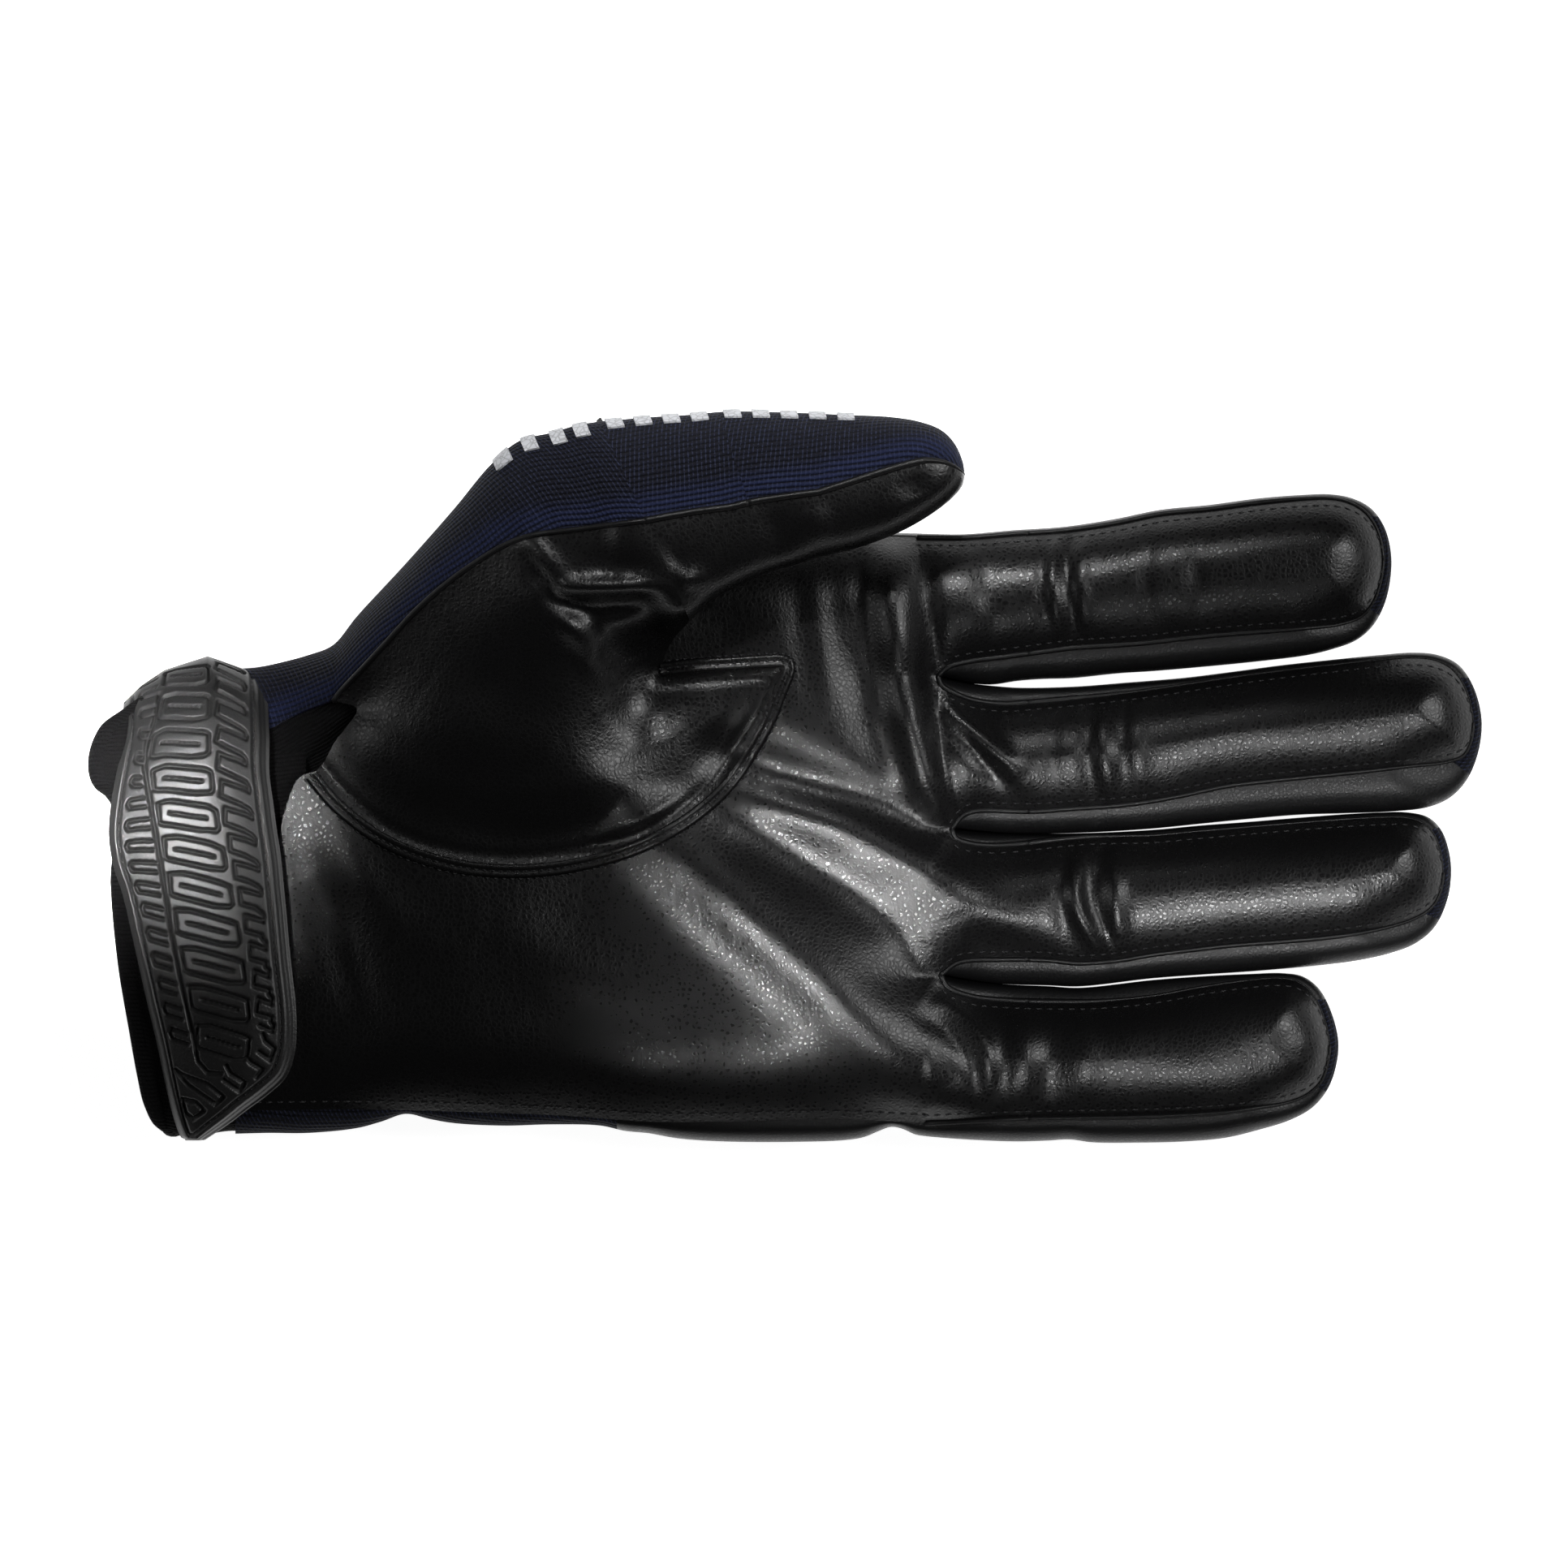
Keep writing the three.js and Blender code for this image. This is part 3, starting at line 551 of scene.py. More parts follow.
# The first colours of a finish are its dark one and its light one.
PALM_LEATHER = leather_finish(
    "palm_leather", (0.002, 0.002, 0.0022), (0.0055, 0.0053, 0.0056), 0.255, 0.034, 0.85
)
SIDE_LEATHER = leather_finish(
    "side_leather", (0.0025, 0.0025, 0.0028), (0.006, 0.006, 0.0064), 0.34, 0.03, 0.7, 0.32
)
KNIT = knit_finish(
    "rib_knit", (0.0012, 0.0014, 0.003), (0.006, 0.007, 0.0155), (0.06, 0.075, 0.15), 0.95, 0.8
)
PAD_CLOTH = knit_finish(
    "pad_cloth", (0.004, 0.0045, 0.007), (0.011, 0.012, 0.019), (0.05, 0.055, 0.075), 0.7, 0.6
)
ELASTIC = elastic_finish("elastic", (0.0012, 0.0012, 0.0014), (0.006, 0.0058, 0.0062), 0.75)
RUBBER = rubber_finish("strap_rubber", (0.01, 0.0099, 0.01), (0.021, 0.0207, 0.0207), 0.3)
LOOP_TAPE = tape_finish("loop_tape", (0.014, 0.014, 0.015), False)
HOOK_TAPE = tape_finish("hook_tape", (0.02, 0.02, 0.021), True)
THREAD = thread_finish("thread", (0.003, 0.003, 0.0035), (0.018, 0.018, 0.02))
PRINT = print_finish("raised_print", (0.62, 0.63, 0.66))


# Stitches

STITCH_VARIATION = (0.85, 1.1)


def stitch_nodes():
    """Geometry nodes that set a sewn stitch on every point of a carrier mesh."""
    group = bpy.data.node_groups.new("stitches", "GeometryNodeTree")
    face = group.interface
    face.new_socket("Geometry", in_out="INPUT", socket_type="NodeSocketGeometry")
    kinds = {"Length": "Float", "Width": "Float", "Seed": "Int", "Material": "Material"}
    for label, kind in kinds.items():
        face.new_socket(label, in_out="INPUT", socket_type=f"NodeSocket{kind}")
    face.new_socket("Geometry", in_out="OUTPUT", socket_type="NodeSocketGeometry")

    def add(kind, settings=None, **inputs):
        return add_node(group, kind, settings, inputs)

    given = add("NodeGroupInput").outputs
    bead = add("GeometryNodeMeshUVSphere", Segments=8, Rings=6, Radius=0.5).outputs["Mesh"]
    vary = add("FunctionNodeRandomValue", {"data_type": "FLOAT"}, Seed=given["Seed"])
    low, high = [s for s in vary.inputs if s.name in ("Min", "Max") and s.type == "VALUE"]
    low.default_value, high.default_value = STITCH_VARIATION
    share = [s for s in vary.outputs if s.type == "VALUE"][0]
    factors = {0: given["Length"], 1: share}
    length = add_node(group, "ShaderNodeMath", {"operation": "MULTIPLY"}, factors).outputs[0]
    width = given["Width"]
    size = add("ShaderNodeCombineXYZ", X=length, Y=width, Z=width).outputs[0]
    run = add("GeometryNodeInputNamedAttribute", {"data_type": "FLOAT_VECTOR"}, Name="run")
    along = run.outputs["Attribute"]
    turn = add("FunctionNodeAlignRotationToVector", {"axis": "X"}, Vector=along).outputs[0]
    points = given["Geometry"]
    place = {"Points": points, "Instance": bead, "Rotation": turn, "Scale": size}
    beads = add("GeometryNodeInstanceOnPoints", **place).outputs["Instances"]
    beads = add("GeometryNodeRealizeInstances", Geometry=beads).outputs[0]
    beads = add("GeometryNodeSetShadeSmooth", Geometry=beads).outputs[0]
    beads = add("GeometryNodeSetMaterial", Geometry=beads, Material=given["Material"]).outputs[0]
    add("NodeGroupOutput", Geometry=beads)
    return group


STITCHES = stitch_nodes()


def stitch_rows(name, lines, spacing, length, width, seed):
    """Rows of stitches along lines of points, as one plain mesh. Sizes are in millimetres."""
    rows = [resample(line, count=max(3, round(arc_lengths(line)[-1] / spacing))) for line in lines]
    runs = np.vstack([np.gradient(row, axis=0) for row in rows])
    points = np.vstack(rows) * METRE
    mesh = bpy.data.meshes.new(f"{name}_carrier")
    mesh.from_pydata(points.tolist(), [], [])
    run = mesh.attributes.new("run", "FLOAT_VECTOR", "POINT")
    run.data.foreach_set("vector", runs.ravel())
    carrier = bpy.data.objects.new(f"{name}_carrier", mesh)
    bpy.context.scene.collection.objects.link(carrier)
    modifier = carrier.modifiers.new("stitches", "NODES")
    modifier.node_group = STITCHES
    values = {"Length": length * METRE, "Width": width * METRE, "Seed": seed, "Material": THREAD}
    for socket in STITCHES.interface.items_tree:
        if socket.in_out == "INPUT" and socket.name in values:
            modifier[socket.identifier] = values[socket.name]
    shape = carrier.evaluated_get(bpy.context.evaluated_depsgraph_get())
    made = bpy.data.meshes.new_from_object(shape)
    bpy.data.objects.remove(carrier)
    piece = bpy.data.objects.new(name, made)
    bpy.context.scene.collection.objects.link(piece)
    return piece


# Outlines of the fingers, from the thumb's side round the tip to the other side. An edge
# is what shows from above, and a seam is the border of the leather front.

OUTLINES = {
    "index": (
        [(1130, 657), (1160, 658), (1190, 658), (1250, 653), (1310, 649), (1370, 640), (1430, 628),
         (1490, 622), (1550, 614), (1600, 610), (1640, 609), (1668, 614.5), (1690, 627), (1706, 650),
         (1714, 682), (1713, 715), (1705, 747), (1690, 773), (1670, 789.5), (1640, 800.5), (1610, 807.5),
         (1550, 815), (1490, 821), (1420, 827), (1378, 829.7), (1323, 835.5), (1283, 836.8), (1254, 839),
         (1223, 843.5), (1200, 842.5), (1175, 838), (1156, 833)],
        [(1130, 662), (1160, 662.5), (1190, 662.5), (1250, 658), (1310, 654), (1370, 645.5), (1430, 633.5),
         (1490, 627.5), (1550, 619.5), (1600, 615), (1638, 614), (1662, 619), (1682, 631), (1697, 653),
         (1704, 684), (1702, 712), (1693, 740), (1678, 759), (1652, 769), (1610, 774), (1540, 779),
         (1470, 785), (1420, 791), (1369, 795), (1321, 798), (1283, 803), (1242, 808.5), (1193, 815),
         (1168, 822), (1156, 833)],
    ),
    "middle": (
        [(1156, 833), (1175, 838), (1200, 842.5), (1223, 845), (1254, 847.3), (1323, 846), (1388, 841),
         (1420, 838.5), (1460, 835), (1520, 827.5), (1580, 819.5), (1640, 813), (1700, 807), (1742, 804),
         (1772, 807), (1797, 819), (1815, 845), (1825.5, 885), (1822, 925), (1808, 960), (1788, 982),
         (1760, 994.5), (1720, 999.5), (1660, 1002), (1600, 1004), (1540, 1009), (1480, 1015),
         (1420, 1021), (1349, 1025.5), (1292, 1027), (1240, 1026.5), (1200, 1024), (1172.6, 1021)],
        [(1156, 833), (1159, 843), (1177, 854.6), (1196.5, 862), (1235, 867), (1283, 864), (1330, 859.5),
         (1369, 855.5), (1420, 849), (1470, 841.5), (1520, 834), (1580, 826), (1640, 819), (1700, 812.5),
         (1740, 810), (1767, 813), (1790, 825), (1806, 849), (1815, 886), (1812, 915), (1803, 931),
         (1780, 939.5), (1740, 944), (1700, 948), (1650, 953), (1600, 958), (1512, 968), (1460, 979),
         (1420, 986.5), (1378, 992), (1321, 996), (1273, 999.5), (1244, 999), (1206, 998.5),
         (1187, 1004), (1172.6, 1021)],
    ),
    "ring": (
        [(1172.6, 1021), (1200, 1024), (1240, 1026.5), (1292, 1027), (1349, 1026), (1420, 1022.5),
         (1480, 1017), (1540, 1012.5), (1600, 1007.5), (1660, 1003), (1700, 1001), (1735, 1001),
         (1760, 1007), (1776, 1023), (1786, 1052), (1788, 1080), (1783, 1110), (1768, 1142), (1745, 1162),
         (1715, 1174), (1670, 1184), (1610, 1191), (1540, 1197), (1480, 1201), (1420, 1205.5),
         (1330, 1215.5), (1292, 1214.3), (1235, 1212.4), (1187, 1206.6), (1159, 1201)],
        [(1172.6, 1021), (1177, 1032.5), (1192, 1038.5), (1216, 1041.5), (1254, 1040), (1292, 1035.5),
         (1340, 1031), (1378, 1030), (1420, 1029), (1470, 1024.5), (1540, 1018.5), (1600, 1013.5),
         (1660, 1009), (1700, 1007), (1730, 1007), (1752, 1013), (1767, 1028), (1776, 1054),
         (1778, 1080), (1773, 1104), (1762, 1120), (1740, 1133), (1700, 1145), (1650, 1153), (1600, 1158),
         (1512, 1165), (1460, 1171), (1420, 1176), (1378, 1183), (1330, 1186.5), (1292, 1183),
         (1235, 1182), (1180, 1186), (1159, 1201)],
    ),
    "little": (
        [(1159, 1201), (1187, 1206.6), (1235, 1212.4), (1292, 1215), (1330, 1217), (1420, 1207.5),
         (1480, 1203), (1540, 1200), (1580, 1199), (1605, 1203), (1625, 1218), (1640, 1246),
         (1649, 1282), (1647, 1310), (1637, 1340), (1618, 1364), (1590, 1380), (1550, 1392.5),
         (1510, 1402), (1460, 1406.5), (1400, 1408), (1345, 1407.5), (1318, 1404), (1290, 1405.5),
         (1250, 1406.5), (1190, 1404), (1150, 1401), (1140, 1400)],
        [(1159, 1201), (1167, 1216), (1196.5, 1227.7), (1244, 1232.4), (1311, 1234), (1350, 1233.4),
         (1420, 1227), (1480, 1216), (1540, 1207.5), (1576, 1205), (1598, 1209), (1616, 1223),
         (1630, 1250), (1638, 1284), (1636, 1308), (1628, 1332), (1610, 1349), (1585, 1359),
         (1550, 1365), (1512, 1370), (1450, 1374), (1400, 1376), (1250, 1379), (1140, 1384)],
    ),
}
# The seam across the finger roots, from the index finger to the little finger
ROOTS = {
    "index": [(1130, 662), (1140, 735), (1149, 790), (1156, 833)],
    "middle": [(1156, 833), (1157, 895), (1166, 971), (1172.6, 1021)],
    "ring": [(1172.6, 1021), (1160, 1078), (1150, 1126), (1149, 1165), (1159, 1201)],
    "little": [(1159, 1201), (1153, 1290), (1140, 1384)],
}
OUTER_SEAM = [
    (1140, 1384), (1085, 1381), (1000, 1379), (900, 1382), (800, 1382), (700, 1375), (600, 1371),
    (500, 1368), (420, 1367), (330, 1368), (290, 1368),
]
OUTER_EDGE = [
    (1140, 1400), (1128, 1398), (1112, 1391), (1098, 1388.5), (1082, 1394), (1065, 1401),
    (1040, 1405), (980, 1407), (910, 1407), (860, 1405), (830, 1402), (800, 1396.5),
    (770, 1393.5), (740, 1387), (680, 1385.5), (620, 1387), (560, 1384), (530, 1379),
    (500, 1372.5), (470, 1382), (440, 1390), (380, 1396), (330, 1396), (290, 1397),
]
THUMB_SIDE_EDGE = [(1130, 657), (1060, 655), (960, 652), (900, 651), (852, 652)]
THUMB_SIDE_SEAM = [(1130, 662), (1060, 660), (960, 657), (900, 656), (852, 657)]

# How far the front drops from its crown to each seam, and how wide its rounding is
CROTCH_DROP = 5.0
THUMB_SIDE_DROP = 6.3
LITTLE_SIDE_DROP = 3.7
TIP_DROP = 6.6
TIP_BAND = 2.0
PALM_EDGE_DROP = 6.5
FINGER_ROUND = 11.5
PALM_ROUND = 17.0


class Digit:
    """A finger's outlines, each split into the side towards the thumb and the other."""

    def __init__(self, name):
        edge, seam = OUTLINES[name]
        self.seam = traced(seam)
        self.root = traced(ROOTS[name])
        self.edge_sides = self.split(traced(edge))
        self.seam_sides = self.split(self.seam)

    @staticmethod
    def split(line):
        tip = line[:, 0].argmax()
        return line[: tip + 1], line[tip:][::-1]

    def sides_of(self, part):
        """Both seams and both edges, cut to the finger's base or its tip."""
        return [self.stretch(line, part) for line in self.seam_sides + self.edge_sides]

    @staticmethod
    def stretch(side, part):
        k = int(np.argmax(side[:, 0] > BASE_CUT_X))
        share = (BASE_CUT_X - side[k - 1, 0]) / (side[k, 0] - side[k - 1, 0])
        cut = mix(side[k - 1], side[k], share)
        return np.vstack([side[:k], cut] if part == "base" else [cut, side[k:]])


DIGITS = {name: Digit(name) for name in OUTLINES}


def merging(x):
    """0 on the palm, 1 on the fingers."""
    return ease(x, 6, 44)


def seam_drops(line, side_drop, is_outer):
    """A finger's seam with its drop from the crown, its rounding and full sharpness."""
    x = line[:, 0]
    root_x = x[0]
    start = PALM_EDGE_DROP if is_outer else CROTCH_DROP * merging(x)
    drop = mix(start, side_drop, ease(x, root_x, root_x + 14))
    drop = mix(drop, TIP_DROP, ease(x, x.max() - 16, x.max() - 3))
    width = np.full(len(x), FINGER_ROUND)
    if is_outer:
        width = mix(PALM_ROUND, FINGER_ROUND, merging(x))
    return np.column_stack([line, drop, width, np.ones(len(x))])


def front_lines():
    """The lines that the front drops to: x, y, drop, rounding and how sharp the drop is."""
    names = list(OUTLINES)
    sides = {}
    for name, digit in DIGITS.items():
        thumbward, outward = digit.seam_sides
        sides[name] = (
            seam_drops(thumbward, THUMB_SIDE_DROP, name == "index"),
            seam_drops(outward, LITTLE_SIDE_DROP, name == "little"),
        )
    lines = []
    edge = traced(THUMB_SIDE_SEAM[::-1])
    whole = np.ones(len(edge))
    edge = np.column_stack([edge, PALM_EDGE_DROP * whole, 13 * whole, whole])
    lines.append(np.vstack([edge[:-1], sides["index"][0]]))
    for before, after in zip(names[:-1], names[1:]):
        crotch = DIGITS[after].seam[0]
        x = np.arange(0, crotch[0], 0.5)
        sharp = ease(x, crotch[0] - 9, crotch[0])
        level = np.full(len(x), crotch[1])
        width = mix(8.5, FINGER_ROUND, sharp)
        drop = CROTCH_DROP * merging(x) * mix(0.75, 1, sharp)
        run = np.column_stack([x, level, drop, width, sharp])
        lines.append(np.vstack([sides[before][1][::-1], run[::-1]]))
        lines.append(np.vstack([run, sides[after][0]]))
    seam = traced(OUTER_SEAM)
    whole = np.ones(len(seam))
    seam = np.column_stack([seam, PALM_EDGE_DROP * whole, PALM_ROUND * whole, whole])
    seam[:, 2] = mix(PALM_EDGE_DROP, 3.0, ease(-seam[:, 0], 62, 88))
    lines.append(np.vstack([sides["little"][1][::-1], seam[1:]]))
    return lines


FRONT_LINES = front_lines()

# Folds and creases: height in millimetres, width, and the places that they run through
FOLDS = [
    # Palm
    (2.3, 7.0, [(760, 990), (840, 1055), (930, 1130), (1020, 1210), (1100, 1300), (1140, 1355)]),
    (-1.7, 4.4, [(890, 925), (980, 962), (1059, 990), (1120, 1012), (1167, 1035)]),
    (-1.2, 4.5, [(900, 1010), (980, 1060), (1060, 1110), (1120, 1170), (1155, 1240)]),
    (1.3, 4.2, [(930, 980), (1037, 1008), (1124, 1052), (1165, 1095), (1180, 1130)]),
    (1.8, 3.6, [(1098, 680), (1102, 748), (1108, 800), (1116, 857), (1137, 943), (1170, 1022)]),
    (-1.2, 2.2, [(1140, 700), (1147, 800), (1152, 880), (1166, 960), (1182, 1020)]),
    (-1.0, 4.6, [(1045, 690), (1052, 780), (1068, 860), (1100, 940), (1145, 1005)]),
    (0.3, 6.0, [(935, 715), (950, 775), (965, 850), (990, 920)]),
    (0.7, 4.5, [(400, 1000), (440, 1080), (500, 1150)]),
    (-0.6, 4.0, [(385, 1080), (420, 1160), (450, 1250)]),
    (0.5, 6.0, [(600, 1150), (720, 1200), (850, 1230)]),
    (0.2, 2.2, [(1040, 660), (1045, 740), (1050, 800)]),
    (-0.2, 1.8, [(1060, 680), (1066, 760), (1070, 820)]),
    (0.15, 2.0, [(1000, 700), (1010, 780), (1020, 850)]),
    (-0.2, 2.2, [(980, 715), (990, 800), (1000, 870)]),
    (0.45, 1.4, [(1145, 1230), (1185, 1250), (1215, 1290), (1222, 1340)]),
    (-0.35, 1.4, [(1130, 1250), (1165, 1270), (1195, 1310), (1205, 1350)]),
    # Index finger
    (-0.45, 1.5, [(1318, 655), (1312, 700), (1318, 745), (1325, 785)]),
    (0.3, 1.3, [(1303, 660), (1298, 700), (1302, 745), (1310, 785)]),
    (-0.23, 1.1, [(1290, 670), (1284, 715), (1290, 770)]),
    (0.2, 1.2, [(1335, 665), (1332, 720), (1340, 780)]),
    (-0.17, 1.4, [(1420, 660), (1412, 710), (1418, 770)]),
    (-0.15, 1.6, [(1480, 650), (1474, 700), (1480, 765)]),
    (0.125, 2.4, [(1185, 680), (1195, 740), (1200, 795)]),
    (-0.125, 2.0, [(1212, 680), (1220, 740), (1225, 795)]),
    (-0.2, 5.5, [(1640, 680), (1650, 715), (1648, 750)]),
    # Middle finger
    (0.94, 2.0, [(1168, 870), (1205, 905), (1240, 940), (1258, 962)]),
    (-0.59, 1.9, [(1170, 895), (1215, 940), (1245, 968)]),
    (-0.36, 1.6, [(1345, 865), (1340, 910), (1345, 960), (1352, 990)]),
    (0.27, 1.5, [(1362, 862), (1358, 910), (1364, 960), (1370, 985)]),
    (-0.3, 1.5, [(1385, 860), (1380, 905), (1385, 950), (1390, 980)]),
    (0.18, 1.5, [(1405, 855), (1400, 905), (1408, 970)]),
    (-0.18, 1.2, [(1300, 870), (1296, 920), (1302, 985)]),
    (-0.18, 5.5, [(1735, 870), (1742, 900), (1740, 935)]),
    # Ring finger
    (0.9, 1.5, [(1332, 1050), (1326, 1075), (1324, 1100), (1333, 1130), (1352, 1160), (1360, 1178)]),
    (-0.68, 1.7, [(1352, 1040), (1346, 1080), (1346, 1110), (1356, 1140), (1368, 1175)]),
    (0.6, 1.8, [(1372, 1040), (1372, 1085), (1374, 1125), (1380, 1160)]),
    (-0.38, 1.2, [(1366, 1050), (1361, 1090), (1364, 1140)]),
    (-0.26, 1.3, [(1315, 1055), (1308, 1095), (1312, 1140), (1325, 1172)]),
    (0.52, 3.6, [(1170, 1055), (1195, 1100), (1235, 1130), (1280, 1145)]),
    (-0.45, 3.0, [(1185, 1150), (1225, 1165), (1265, 1170)]),
    (-0.22, 5.0, [(1700, 1055), (1708, 1085), (1706, 1115)]),
    # Little finger
    (0.33, 3.0, [(1250, 1245), (1262, 1290), (1256, 1345), (1245, 1372)]),
    (-0.33, 2.6, [(1285, 1245), (1295, 1300), (1290, 1360)]),
    (-0.23, 2.0, [(1230, 1245), (1238, 1300), (1230, 1360)]),
    (0.23, 2.4, [(1330, 1245), (1338, 1300), (1333, 1355)]),
    (-0.2, 5.0, [(1575, 1270), (1582, 1300), (1580, 1330)]),
    # Thumb mound and thumb
    (1.5, 1.9, [(672, 726), (730, 726), (800, 722), (862, 714)]),
    (-1.4, 2.1, [(655, 690), (690, 738), (760, 745), (850, 736)]),
    (0.9, 2.2, [(648, 660), (668, 690), (690, 715)]),
    (0.8, 2.2, [(690, 762), (722, 790), (738, 818)]),
    (-0.9, 2.6, [(700, 745), (740, 775), (760, 810)]),
    (-0.6, 3.0, [(720, 690), (790, 700), (850, 695)]),
    (0.5, 6.0, [(520, 850), (600, 900), (690, 920)]),
    (-0.5, 5.0, [(760, 860), (790, 910), (770, 970)]),
    (0.4, 1.6, [(760, 650), (765, 690), (775, 715)]),
    (0.5, 2.5, [(1000, 625), (1010, 655), (1018, 680)]),
    (-0.4, 2.5, [(950, 630), (960, 665), (968, 695)]),
    (-0.4, 3.0, [(1120, 585), (1130, 615)]),
]
FOLD_STRENGTH = 1.5
FOLD_LINES = [(height, width, smooth_line(at(points), 1.0)) for height, width, points in FOLDS]


def folds(places):
    """The folds' height at each place, fading at each fold's ends."""
    total = np.zeros(len(places))
    for height, width, line in FOLD_LINES:
        low, high = line.min(0) - 3 * width, line.max(0) + 3 * width
        near = ((places > low) & (places < high)).all(1)
        if not near.any():
            continue
        strength = np.sin(np.linspace(0.12, math.pi - 0.12, len(line)))[:, None] ** 0.6
        distance, share = nearest(places[near], line, strength)
        total[near] += FOLD_STRENGTH * height * share[:, 0] * np.exp(-((distance / width) ** 2))
    return total


def ripple(places):
    """Slow unevenness of worn leather, from a few sums of waves."""
    x, y = places[:, 0], places[:, 1]
    total = 0.13 * np.sin(x / 7.3 + 1.3 * np.sin(y / 9.1)) * np.cos(y / 6.1 + 0.8 * np.sin(x / 11))
    total += 0.07 * np.sin(x / 2.9 + np.sin(y / 4.7) * 1.7) * np.sin(y / 8.3 + 1.1)
    return total


def palm_crown(places):
    """Height of the front before its edges drop: lower at the wrist and in the hollow."""
    x, y = places[:, 0], places[:, 1]
    crown = mix(PALM_TOP_Z, FINGER_TOP_Z, merging(x))
    crown = crown - WRIST_FALL * (1 - ease(x, -88, -52))
    hollow = np.exp(-(((x + 12) / 34) ** 2) - (((y + 8) / 24) ** 2))
    return crown - HOLLOW_DEPTH * hollow


def front_height(places):
    """Height of the leather front at each place in plan."""
    places = np.asarray(places, float)
    drop = np.zeros(len(places))
    for line in FRONT_LINES:
        distance, values = nearest(places, line, line[:, 2:])
        share = np.clip(1 - distance / values[:, 1], 0, 1)
        shape = mix(ease(share, 0, 1) ** 1.4, share**FINGER_CURVE, values[:, 2])
        drop = np.maximum(drop, values[:, 0] * shape)
    fade = ease(drop, 7.5, 3.0)
    return palm_crown(places) - drop + (folds(places) + ripple(places)) * np.maximum(fade, 0.25)


def with_height(places, height=front_height):
    shape = places.shape[:-1]
    flat = places.reshape(-1, 2)
    return np.column_stack([flat, height(flat)]).reshape(*shape, 3)


# Finger pieces

WALL_STEPS = np.linspace(0, math.pi / 2, 8)
UNDER_STEPS = np.linspace(0, math.pi / 2, 6)[1:]
BACK_SEAM_Z = 6.6
BACK_INSET = 1.7
BACK_ROUND = 7.0
SEAM_ALLOWANCE = 1.3
STITCHED_WIDTH = 5
UP, DOWN = (0, 0, 1), (0, 0, -1)


def inward(line, toward_left):
    """Unit steps across a line, to its left or its right."""
    tangent = unit(np.gradient(line, axis=0))
    normal = np.column_stack([-tangent[:, 1], tangent[:, 0]])
    return normal if toward_left else -normal


def back_line(edge, root_open, toward_left, inset=BACK_INSET):
    """The seam with the back: the edge moved inwards, except where it starts at a crotch."""
    along = arc_lengths(edge)
    amount = inset * (1 if root_open else ease(along, 0, 9))
    return edge + inward(edge, toward_left) * np.asarray(amount).reshape(-1, 1)


def wall_rows(seam, edge, back, seam_z):
    """Rows down a side: from the front's seam round the edge to the back's seam."""
    rows = []
    down = MIDDLE_Z - BACK_SEAM_Z
    for f, c, b, z in zip(seam, edge, back, seam_z):
        row = []
        for a in WALL_STEPS:
            plan = f + (c - f) * math.sin(a) ** 0.85
            row.append([*plan, MIDDLE_Z + (z - MIDDLE_Z) * math.cos(a) ** 0.8])
        for a in UNDER_STEPS:
            plan = c + (b - c) * (1 - math.cos(a))
            row.append([*plan, MIDDLE_Z - down * math.sin(a)])
        rows.append(row)
    return np.array(rows)


def back_height(places, lines):
    """Height of the back, which rises in a rounding towards its seams."""
    drop = np.zeros(len(places))
    for line in lines:
        distance = nearest(places, line)
        share = np.clip(1 - distance / BACK_ROUND, 0, 1)
        drop = np.maximum(drop, (BACK_SEAM_Z - BOTTOM_Z) * share**2.2)
    return BOTTOM_Z + drop


PIECES = {}


def keep(piece, replaces, slot, body=None, between=None):
    """Note what a finished piece stands for and what it moves with."""
    PIECES[piece.name] = (piece, replaces, slot, body, between)


SLOTS = {
    PALM_LEATHER: "palm_leather", SIDE_LEATHER: "side_leather", KNIT: "knit", ELASTIC: "elastic",
    RUBBER: "strap_rubber", HOOK_TAPE: "tape", LOOP_TAPE: "tape",
}


def panel(name, rows, finish, outward, wall=WALL, **moves):
    """A sheet over rows of points, in the place of the node with its name."""
    piece = sheet_grid(name, rows, wall, finish, outward)
    keep(piece, [name], SLOTS[finish], **moves)
    return piece


KNUCKLE_ZONE = ((29.6, 0, 12), (40.0, 0, 12))
BEND_ZONE = ((46.0, 0, 12), (60.0, 0, 12))

FRONT_COLUMNS = 46
# For each part of a finger: its rows, and how much closer they lie towards its tip
FINGER_ROWS = {"base": (34, 1.0), "tip": (120, 1.25)}
WALL_STEP = 0.7
WELT_RADIUS = 0.5
WELT_THINS = (46, 62)
WELT_LIFT = 0.05


def paired(first, second, count, sharpen=1.0):
    """Two lines with as many points, at the same shares of their lengths."""
    stops = 1 - (1 - np.linspace(0, 1, count)) ** sharpen
    return resample(first, stops=stops), resample(second, stops=stops)


